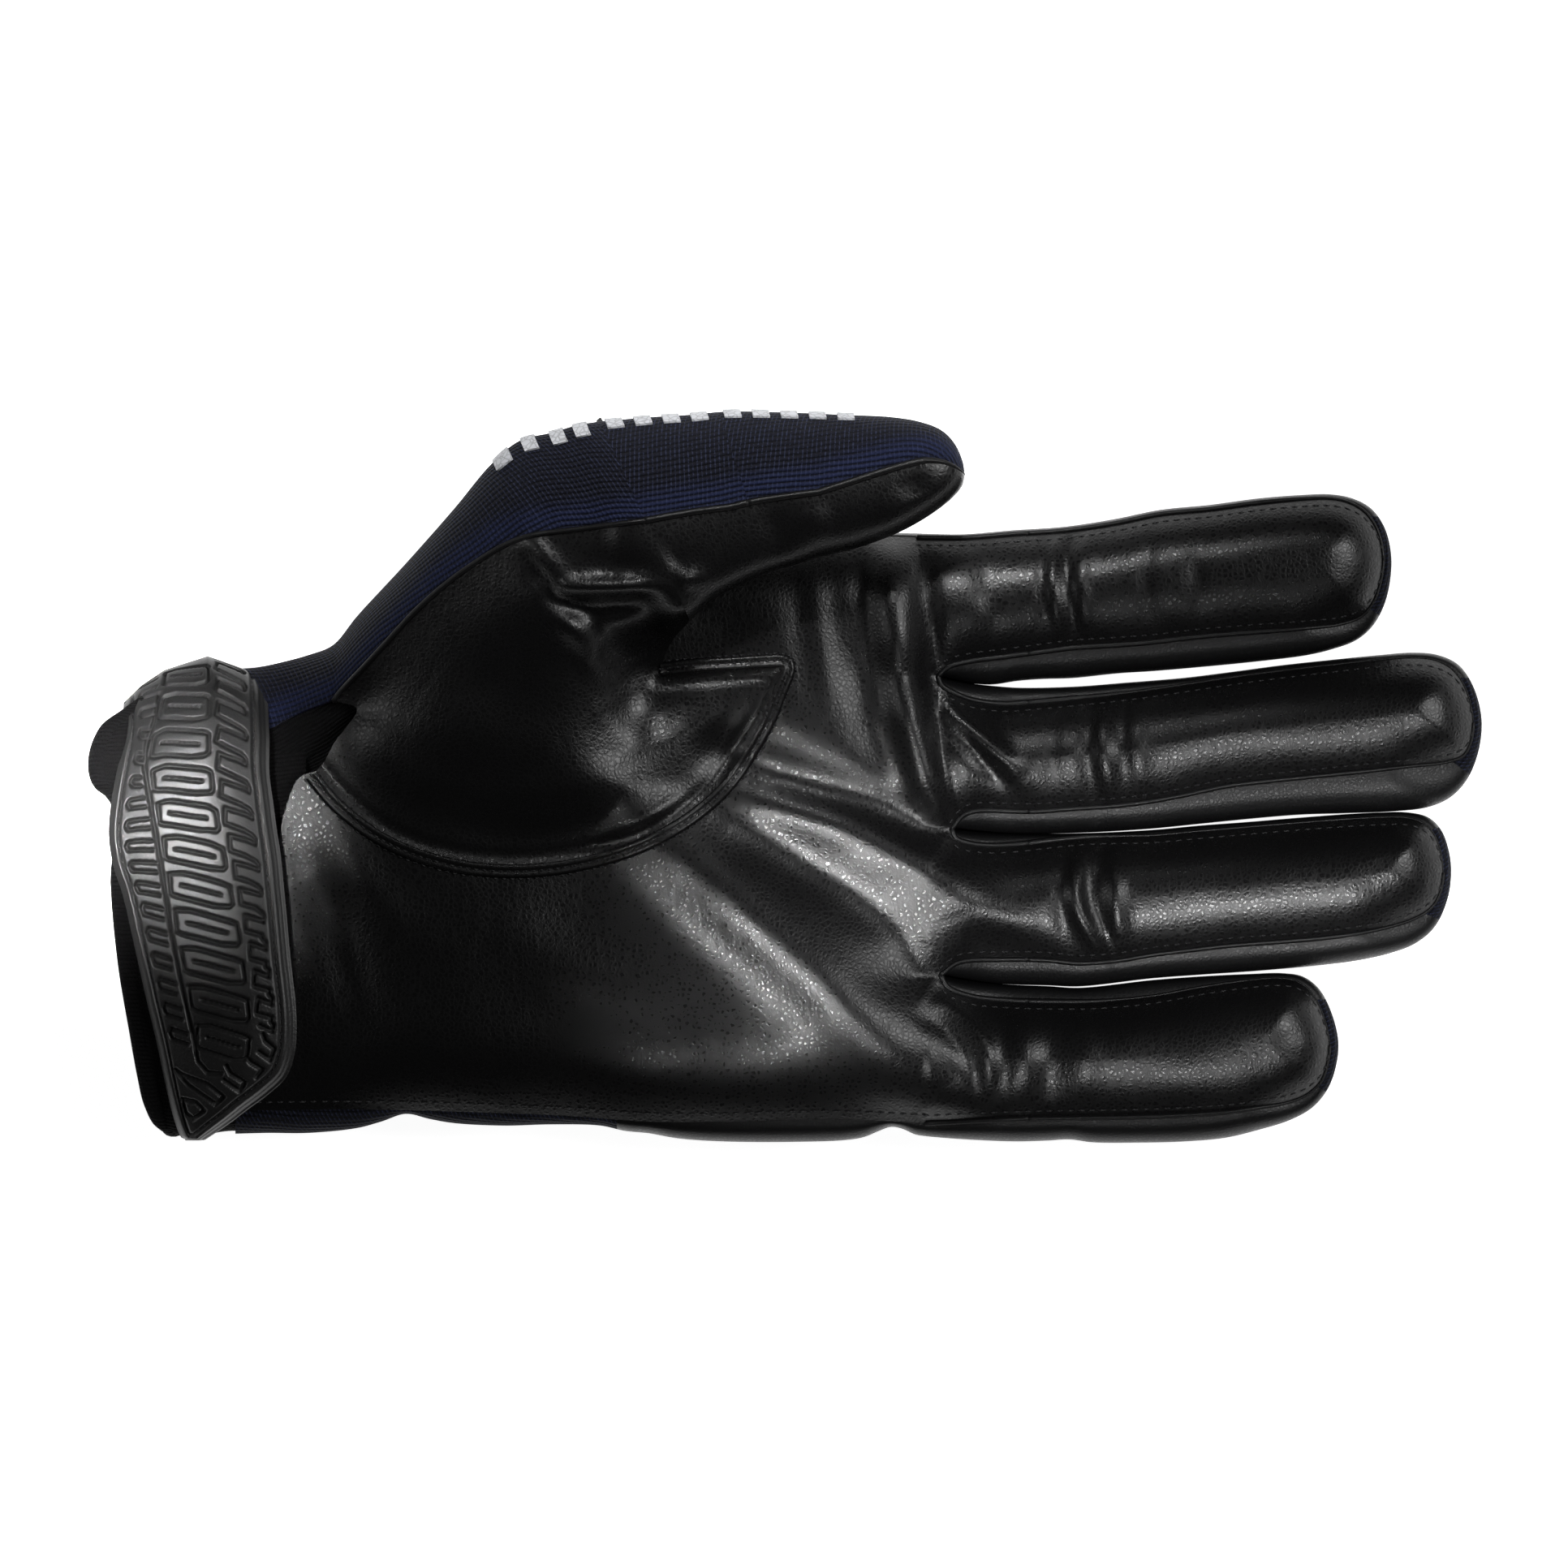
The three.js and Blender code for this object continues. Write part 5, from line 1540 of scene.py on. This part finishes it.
RING_COUNT = 200
ring_angles = turns(RING_COUNT)
ring_y, ring_z = cuff_ring(ring_angles)
ring_out = np.column_stack([0 * ring_angles, np.cos(ring_angles), np.sin(ring_angles)])
start_x = mouth_x(ring_y)
cuff_rows = []
for share in np.linspace(0, 1, CUFF_ROWS):
    start = start_x + BINDING_OVERLAP
    x = start + (CUFF_END_X - start) * share
    grow = 0.5 * math.sin(share * 3 * math.pi) * (1 - share) - 1.3 * share**2
    y, z = cuff_ring(ring_angles, grow)
    wave = CUFF_WAVE * np.sin(ring_angles * 7 + share * 5)
    cuff_rows.append(np.column_stack([x, y, z]) + wave[:, None] * ring_out)
cuff_out = np.tile(ring_out, (CUFF_ROWS, 1))
cuff = sheet_grid("cuff_band", np.array(cuff_rows), CUFF_WALL, ELASTIC, cuff_out, looped=True)
keep(cuff, ["cuff_band"], "elastic", body="hand")


def binding_tube():
    """The edge binding: a soft flat tube round the mouth, with a rib every millimetre."""
    rows = []
    sides = 14
    ring = np.column_stack([start_x, ring_y, ring_z])
    for a in turns(sides):
        shift = np.array([1.9 + 1.9 * math.cos(a), 0, 0])
        rows.append(ring + shift + ring_out * (1.25 * math.sin(a) - 0.9))
    points = np.array(rows).transpose(1, 0, 2).reshape(-1, 3)
    faces = grid_faces(RING_COUNT + 1, sides, True) % len(points)
    normals = point_normals(points, faces)
    if (normals * np.repeat(ring_out, sides, axis=0)).sum() < 0:
        faces = faces[:, ::-1]
    across = np.tile(np.linspace(0, 8, sides), RING_COUNT)
    uvs = np.column_stack([across, np.repeat(arc_lengths(ring), sides)])
    return add_mesh("cuff_binding", points, faces, ELASTIC, uvs)


keep(binding_tube(), ["cuff_binding"], "elastic", body="hand")

# Strap

STRAP_LEFT = [
    (152, 800), (152, 850), (151, 866.5), (142, 917.5), (136, 963.5), (134, 1007), (139, 1050),
    (149, 1090), (159, 1136), (170, 1186), (182, 1239), (193, 1285), (202.5, 1331), (212, 1372),
    (221, 1400), (229, 1413.5),
]
STRAP_RIGHT = [
    (329, 800), (331, 848.7), (332, 879), (332, 928), (336, 963.5), (341, 1007), (346, 1045),
    (350, 1092), (358, 1181), (364.5, 1240), (365.5, 1272), (363, 1300), (353, 1328), (331, 1350),
    (303.5, 1371), (285, 1386), (264.5, 1401), (247, 1413.5),
]
STRAP_FOLD = ([-115, -111, -107, -99.5, -93, -88.5], [12.3, 16.2, 18.9, 21.3, 19.0, 15.6])
STRAP_CENTRE_Y = -22.05
STRAP_HALF_Y = 43.35
STRAP_CENTRE_Z = 12.15
STRAP_HALF_Z = 14.6
STRAP_WALL = 2.4
STRAP_COLUMNS = 112
ANCHOR_FLOOR_Z = 0.3
ANCHOR_Y = 20.8
ANCHOR_COLUMNS = 30
TAPE_COLUMNS = 30
TAPE_MARGIN = 4
HOOK_TAPE_DROP = 2.55
LOOP_TAPE_LIFT = 1.15

strap_left = traced(STRAP_LEFT)
strap_right = traced(STRAP_RIGHT)


def strap_path(start, stop, count):
    """The strap's run in section, from an angle to an angle round the cuff: y and z."""
    angles = np.linspace(start, stop, count)
    power = 2 / CUFF_SQUARENESS
    y = STRAP_CENTRE_Y + STRAP_HALF_Y * squarish(np.cos(angles), power)
    z = STRAP_CENTRE_Z + STRAP_HALF_Z * squarish(np.sin(angles), power)
    return np.column_stack([y, z])


TIP_ANGLE = math.acos(-(((63.4 + STRAP_CENTRE_Y) / STRAP_HALF_Y) ** (CUFF_SQUARENESS / 2)))
flap_path = resample(strap_path(0.02, TIP_ANGLE, 2000), step=0.27)
flap_run = arc_lengths(flap_path)


def edge_at(line, y):
    """X of one of the strap's edges at a place across the wrist."""
    order = np.argsort(line[:, 1])
    return np.interp(y, line[order, 1], line[order, 0])


def run_at(y):
    """Distance along the flap at a place across the wrist, on its upper side."""
    order = np.argsort(flap_path[:, 0])
    return np.interp(y, flap_path[order, 0], flap_run[order])


def flat_strap(points):
    """Photograph places on the strap, laid flat: along X and down the strap."""
    p = at(points)
    return np.column_stack([p[:, 0], run_at(p[:, 1])])


LONG_GROOVE = [
    (197, 835), (194, 851), (190, 868), (181, 890), (178, 925), (183, 960), (188, 994),
    (200, 1076), (212, 1157), (225, 1219), (237, 1272), (244, 1308), (256, 1322), (273, 1323),
]


# Slanted bars, arrows and a triangle at the strap's tip, each with its half width
TIP_MARKS = [
    ([(216, 1318), (224, 1324), (256, 1336), (276, 1352), (266, 1361), (232, 1337), (216, 1318)], 0.3),
    ([(224, 1354), (241, 1358), (252, 1369), (238, 1379), (229, 1372), (224, 1354)], 0.3),
    ([(279, 1313), (284, 1323), (302, 1334), (296, 1345), (276, 1331)], 0.32),
    ([(304, 1303), (310, 1310), (324, 1318), (316, 1327)], 0.32),
    ([(324, 1274), (327, 1283), (339, 1293), (333, 1306), (319, 1296)], 0.3),
]


def tread_lines():
    """The tread's grooves on the strap laid flat, each with its half width."""
    groove = flat_strap(LONG_GROOVE)

    def across(run, share):
        """From the long groove (0) to 9.3 mm inside the right edge (1)."""
        y = np.interp(run, flap_run, flap_path[:, 0])
        left = np.interp(run, groove[:-3, 1], groove[:-3, 0])
        right = edge_at(strap_right, y) - mix(9.6, 7.4, ease(run, 30, 62))
        return np.column_stack([mix(left, right, np.asarray(share)), run])

    def beside(offset, run, edge=strap_left):
        y = np.interp(run, flap_run, flap_path[:, 0])
        return np.column_stack([edge_at(edge, y) + offset, run])

    lines = [(groove, 0.32)]
    last = run_at(at([(0, 1292)])[0, 1])
    # Slanted fingers on the left, each closed at the strap's edge
    for start in np.arange(1.6, last - 1.5, 4.3):
        right = across(np.array([start]), 0)[0, 0] - 0.7
        left = beside(2.9, np.array([start]))[0, 0]
        stops = np.array([start + 1.1, start + 0.15, start + 0.9, start + 2.0, start + 2.9])
        points = np.column_stack([[right, left + 0.3, left, left + 0.45, right + 0.15], stops])
        lines.append((points, 0.27))
    # The winding groove on the right
    winding = []
    for start in np.arange(1.5, last - 5, 4.75):
        runs = start + np.array([0, 0.75, 1.45, 2.15, 3.1, 2.75, 2.1])
        reach = mix(9.2, 6.9, ease(start, 30, 62))
        offsets = -np.array([reach, reach - 2.6, 4.5, 4.0, 4.2, 5.0, reach - 0.5])
        winding.append(beside(offsets, runs, strap_right))
    lines.append((np.vstack(winding), 0.3))
    # Slanted tread blocks down the middle, with a closed slot across each
    for start in np.arange(4.0, last - 4, 6.6):
        share = np.array([0.1, 0.3, 0.84, 0.93, 0.93, 0.88, 0.68, 0.14, 0.08, 0.1])
        runs = start + np.array([0, 0, 1.9, 2.4, 5.4, 6.0, 5.9, 4.1, 3.6, 0])
        lines.append((across(runs, share), 0.27))
        slot = start + np.array([2.15, 2.7, 3.35, 3.9])
        lines.append((across(slot, [0.24, 0.42, 0.6, 0.78]), 0.22))
    return lines + [(flat_strap(points), half_width) for points, half_width in TIP_MARKS]


GROOVE_DEPTH = 0.75


def strap_relief(places, left, right):
    """Relief of the moulded face on the strap laid flat, and each place's share of a groove."""
    from_left = nearest(places, left)
    from_right = nearest(places, right)
    inset = np.minimum(from_left / 1.7, from_right / 2.7)
    relief = -1.0 * (1 - ease(from_right, 0.2, 2.5)) - 0.5 * (1 - ease(from_left, 0.0, 1.1))
    border = np.exp(-(((inset - 1) / 0.13) ** 2))
    flange = np.sin(from_right * 2 * math.pi / 0.75) * 0.06 * (from_right < 2.3)
    face = ease(inset, 1.15, 1.3)
    depth = np.zeros(len(places))
    for line, half_width in tread_lines():
        low, high = line.min(0) - 1.5, line.max(0) + 1.5
        near = ((places > low) & (places < high)).all(1)
        if near.any():
            groove = 1 - ease(nearest(places[near], line), half_width * 0.55, half_width * 1.5)
            depth[near] = np.maximum(depth[near], groove)
    depth = np.maximum(depth * face, 0.8 * border)
    return relief + flange - GROOVE_DEPTH * depth, depth


def fold_shape(x, y):
    """The wrist narrows towards both edges of the strap, on the thumb's side."""
    reach = np.interp(x, *STRAP_FOLD)
    share = np.clip((y - STRAP_CENTRE_Y) / STRAP_HALF_Y, 0, 1)
    return np.where(y > STRAP_CENTRE_Y, STRAP_CENTRE_Y + (reach - STRAP_CENTRE_Y) * share, y)


STRAP_RIDGE = 0.62


def strap_points(path, columns, relief_of=None, raise_by=0.0, straight=False):
    """Rows of points over the strap along a path, and each point's share of a groove.
    straight is for the anchor, which keeps the width that the strap has at its fold."""
    edge_y = np.full(len(path), ANCHOR_Y) if straight else path[:, 0]
    left_x = edge_at(strap_left, edge_y)
    right_x = edge_at(strap_right, edge_y)
    share = np.linspace(0, 1, columns)
    x = mix(left_x[:, None], right_x[:, None], share[None])
    run = arc_lengths(path)
    flat = np.stack([x, np.broadcast_to(run[:, None], x.shape)], -1).reshape(-1, 2)
    left = np.column_stack([left_x, run])
    right = np.column_stack([right_x, run])
    tip = np.vstack([left[-1], right[-1]])
    relief = depth = np.zeros(len(flat))
    if relief_of:
        relief, depth = relief_of(flat, np.vstack([left, tip]), np.vstack([tip[:1], right[::-1]]))
    tangent = unit(np.gradient(path, axis=0))
    normal = np.column_stack([tangent[:, 1], -tangent[:, 0]])
    if normal[len(normal) // 2, 1] < 0:
        normal = -normal
    lift = relief.reshape(x.shape) + raise_by
    y = fold_shape(x, path[:, :1] + normal[:, :1] * lift)
    z = path[:, 1:] + normal[:, 1:] * lift
    if not straight:
        # The upper side is highest at its ridge and falls off towards both edges.
        left_fall = 7.31 * np.clip(STRAP_RIDGE - share, 0, 1) ** 1.6
        right_fall = 9.6 * np.clip(share - STRAP_RIDGE, 0, 1) ** 2
        z = z - (left_fall + right_fall)[None] * np.clip(normal[:, 1:], 0, 1)
    return np.dstack([x, y, z]), depth


strap_grid, groove_depth = strap_points(flap_path, STRAP_COLUMNS, strap_relief)
strap_lining, _ = strap_points(flap_path, STRAP_COLUMNS, None, -STRAP_WALL)
strap = sheet_grid("strap_cover", strap_grid, STRAP_WALL, RUBBER, UP, inner=strap_lining)
# Each point's share of a groove, for the rubber's painted groove shade and its rougher grooves.
depths = strap.data.attributes.new("groove", "FLOAT", "POINT")
depths.data.foreach_set("value", np.concatenate([groove_depth, np.zeros(len(groove_depth))]))
STRAP_ZONE = ("hand", "strap", ((-99, 21.5, 11.0), (-99, 17.0, 24.5)))
keep(strap, ["strap_cover"], "strap_rubber", between=STRAP_ZONE)


def border_row(inset, edge):
    """A row across the strap's face that keeps a distance from one of its edges."""
    rows = []
    lean = np.gradient(strap_grid[:, edge, 0], flap_run)
    for row, slope in zip(strap_grid[6:-10], lean[6:-10]):
        order = np.argsort(row[:, 0])
        x = row[edge, 0] + inset * math.sqrt(1 + slope**2)
        rows.append([np.interp(x, row[order, 0], row[order, axis]) for axis in range(3)])
    return np.array(rows)


strap_rows = [border_row(1.7, 0), border_row(-2.7, -1)]
strap_stitches = stitch_rows("strap_stitches", strap_rows, 1.3, 0.85, 0.3, 11)
keep(strap_stitches, [], "strap_rubber", between=STRAP_ZONE)

# The anchor, pressed flatter under the cuff, where it lies on the table
anchor_path = strap_path(-1.42, 0.04, 1500)
below = anchor_path[:, 1] < STRAP_CENTRE_Z
anchor_path[below, 1] -= STRAP_CENTRE_Z
anchor_path[below, 1] *= (STRAP_CENTRE_Z - ANCHOR_FLOOR_Z) / STRAP_HALF_Z
anchor_path[below, 1] += STRAP_CENTRE_Z
anchor_path = resample(anchor_path, step=0.8)
anchor_rows, _ = strap_points(anchor_path, ANCHOR_COLUMNS, straight=True)
panel("strap_anchor", anchor_rows, RUBBER, (0, 1, -1), STRAP_WALL, body="hand")

# Hook tape under the strap and loop tape on the cuff
tape_path = flap_path[(flap_path[:, 0] < -4) & (flap_path[:, 0] > -46)][::3]
tape_part = slice(TAPE_MARGIN, TAPE_COLUMNS - TAPE_MARGIN)
hook_rows = strap_points(tape_path, TAPE_COLUMNS, raise_by=-HOOK_TAPE_DROP)[0][:, tape_part]
panel("hook_tape", hook_rows, HOOK_TAPE, UP, 0.9, body="strap")
loop_rows = strap_points(tape_path, TAPE_COLUMNS)[0][:, tape_part]
loop_rows[..., 2] = cuff_height(loop_rows[..., 1]) + LOOP_TAPE_LIFT
panel("loop_tape", loop_rows, LOOP_TAPE, UP, body="hand")


# Pads

PAD_ROWS, PAD_COLUMNS = 15, 64
PAD_CORNERS = 0.32


def pad(name, body):
    """A foam pad under cloth: a rounded block as large as its node's box."""
    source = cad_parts[name]
    corners = np.array([source.matrix_world @ Vector(c) for c in source.bound_box]) / METRE
    low, high = corners.min(0), corners.max(0)
    centre, half = (low + high) / 2, (high - low) / 2
    angles = turns(PAD_COLUMNS)
    ring = squarish(np.column_stack([np.cos(angles), np.sin(angles)]), PAD_CORNERS)
    points = []
    for v in np.linspace(-math.pi / 2, math.pi / 2, PAD_ROWS):
        level = math.copysign(abs(math.sin(v)) ** 0.6, v)
        reach = max(0.0, math.cos(v)) ** 0.35
        points.append(np.column_stack([ring * reach, np.full(PAD_COLUMNS, level)]))
    points = centre + half * np.vstack(points)
    faces = grid_faces(PAD_ROWS, PAD_COLUMNS, True)
    normals = point_normals(points, faces)
    if (normals * (points - centre)).sum() < 0:
        faces = faces[:, ::-1]
    piece = add_mesh(name, points, faces, PAD_CLOTH, points[:, :2])
    keep(piece, [name], "foam_pad", body=body)


for finger_name in OUTLINES:
    for part in ("base", "tip"):
        pad(f"{finger_name}_{part}_pad", f"{finger_name}_{part}")
pad("back_pad", "hand")
pad("knuckle_pad", "hand")


# Putting the pieces on their bodies

# What each panel was cut to: width and length in millimetres, area in square centimetres.
# A finger's row holds the index, middle, ring and little finger.
FINGER_CUTS = {
    "base_front": [(21, 26, 4.7), (16, 27, 3.8), (18, 26, 4.1), (19, 27, 4.4)],
    "base_thumbward_side": [(12, 20, 2.1), (14, 17, 2.1), (13, 15, 1.7), (14, 17, 2)],
    "base_outward_side": [(16, 17, 2.4), (15, 15, 1.9), (15, 17, 2.2), (15, 19, 2.5)],
    "base_back": [(20, 25, 4.5), (16, 27, 3.8), (17, 26, 3.8), (19, 27, 4.5)],
    "tip_front": [(28, 62, 15.5), (25, 78, 17.2), (27, 73, 17.3), (27, 53, 12.8)],
    "tip_thumbward_side": [(11, 61, 5.8), (11, 77, 7.2), (11, 72, 6.6), (12, 53, 5.3)],
    "tip_outward_side": [(16, 62, 8.7), (17, 77, 11.4), (16, 72, 9.9), (15, 53, 7.1)],
    "tip_back": [(30, 64, 16.8), (28, 79, 19.8), (28, 74, 18.2), (29, 55, 14.3)],
}
CUT_SIZES = {
    "palm_leather": (104, 126, 83),
    "thenar_leather": (60, 84, 35.8),
    "thumb_base_front": (35, 25, 7.7),
    "thumb_base_back": (33, 27, 8),
    "thumb_tip_front": (34, 40, 12.2),
    "thumb_tip_back": (33, 43, 12.6),
    "thumb_side_knit": (44, 82, 29.5),
    "thumb_web": (18, 36, 5.8),
    "index_side_leather": (16, 49, 6.7),
    "outer_side_leather": (16, 55, 7.5),
    "outer_side_knit": (15, 68, 9.1),
    "back_knit": (104, 125, 117),
    "wrist_gusset": (14, 18, 2.2),
    "cuff_band": (35, 168, 51.4),
    "hook_tape": (23, 42, 8.4),
    "loop_tape": (23, 42, 8.5),
}
for finger_part, cuts in FINGER_CUTS.items():
    for finger_name, cut in zip(OUTLINES, cuts):
        CUT_SIZES[f"{finger_name}_{finger_part}"] = cut


def settle():
    """Hide the nodes that each piece replaces, and hang each piece on its body or bake its place into its
    mesh.
    """
    for name, (piece, nodes, slot_name, body, between) in PIECES.items():
        cut = CUT_SIZES.get(name.split(".")[0])
        if cut:
            width, length, area = cut
            size = (width * METRE, length * METRE)
            area * SQUARE_CENTIMETRE
        if nodes:
            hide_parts(*nodes)
        if between:
            a, b, (start, end) = between
            tuple(METRE * v for v in start)
            tuple(METRE * v for v in end)
            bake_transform(piece)
        else:
            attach(piece, body)


settle()

# Camera, floor and light

FLOOR_HALF = 2500.0
camera_data = bpy.data.cameras.new("camera")
camera_data.type = "ORTHO"
camera_data.ortho_scale = FRAME_PIXELS * PIXEL * METRE
camera_data.clip_end = 5
camera = bpy.data.objects.new("camera", camera_data)
frame_middle = at([(FRAME_PIXELS / 2, FRAME_PIXELS / 2)])[0] * METRE
camera.location = (*frame_middle, 0.8)
bpy.context.scene.collection.objects.link(camera)
bpy.context.scene.camera = camera


RAY_KINDS = ("Camera", "Glossy", "Transmission")


def backdrop_finish():
    """White where it is seen, and plain grey for the light that it gives back."""
    f = Finish("white_floor")
    rays = f.node("ShaderNodeLightPath").outputs
    direct, mirrored, through = (Amount(f, rays[f"Is {kind} Ray"]) for kind in RAY_KINDS)
    seen = direct.most(mirrored).most(through)
    plain = f.node("ShaderNodeBsdfDiffuse", {}, {"Color": (0.8, 0.8, 0.8, 1)})
    glow = f.node("ShaderNodeEmission", {}, {"Color": (1, 1, 1, 1), "Strength": 0.95})
    white = f.node("ShaderNodeAddShader", {}, {0: plain.outputs[0], 1: glow.outputs[0]})
    both = f.node("ShaderNodeMixShader", {}, {0: seen, 1: plain.outputs[0], 2: white.outputs[0]})
    f.node("ShaderNodeOutputMaterial", {}, {"Surface": both.outputs[0]})
    return f.material


corners = [(x, y, 0) for x, y in ((-1, -1), (1, -1), (1, 1), (-1, 1))]
floor = add_mesh("floor", FLOOR_HALF * np.array(corners), [[0, 1, 2, 3]], backdrop_finish())
floor.location.z = -0.0005

world = bpy.data.worlds.new("studio")
world.use_nodes = True
background = world.node_tree.nodes["Background"]
background.inputs["Color"].default_value = (1, 1, 1, 1)
background.inputs["Strength"].default_value = 0.02
bpy.context.scene.world = world


def lamp(name, place, aim, width, height, power, spread):
    data = bpy.data.lights.new(name, "AREA")
    data.shape = "RECTANGLE"
    data.size, data.size_y = width, height
    data.energy = power
    data.spread = math.radians(spread)
    light = bpy.data.objects.new(name, data)
    light.location = place
    light.rotation_euler = (Vector(place) - Vector(aim)).to_track_quat("Z", "Y").to_euler()
    light.visible_camera = False
    bpy.context.scene.collection.objects.link(light)


# Place and aim in metres, width and height in metres, power in watts, spread in degrees
LAMPS = {
    "right_softbox": ((0.72, 0.18, 0.78), (0.03, 0, 0), 0.34, 0.6, 4.5, 180),
    "finger_light": ((0.095, -0.19, 0.42), (0.095, -0.02, 0.02), 0.15, 0.03, 0.016, 12),
    "fold_light": ((-0.1, -0.17, 0.38), (0.005, -0.02, 0.02), 0.03, 0.03, 0.006, 9),
    "left_softbox": ((-0.98, 0.02, 0.56), (-0.1, 0, 0), 0.26, 0.6, 1.0, 180),
    "thumb_light": ((-0.01, 0.32, 0.4), (-0.01, 0.078, 0.03), 0.12, 0.06, 0.035, 15),
    "strap_light": ((-0.176, 0.012, 0.3), (-0.119, -0.001, 0.02), 0.02, 0.04, 0.021, 12),
}
for lamp_name, values in LAMPS.items():
    lamp(lamp_name, *values)

bpy.context.scene.view_settings.view_transform = "Standard"
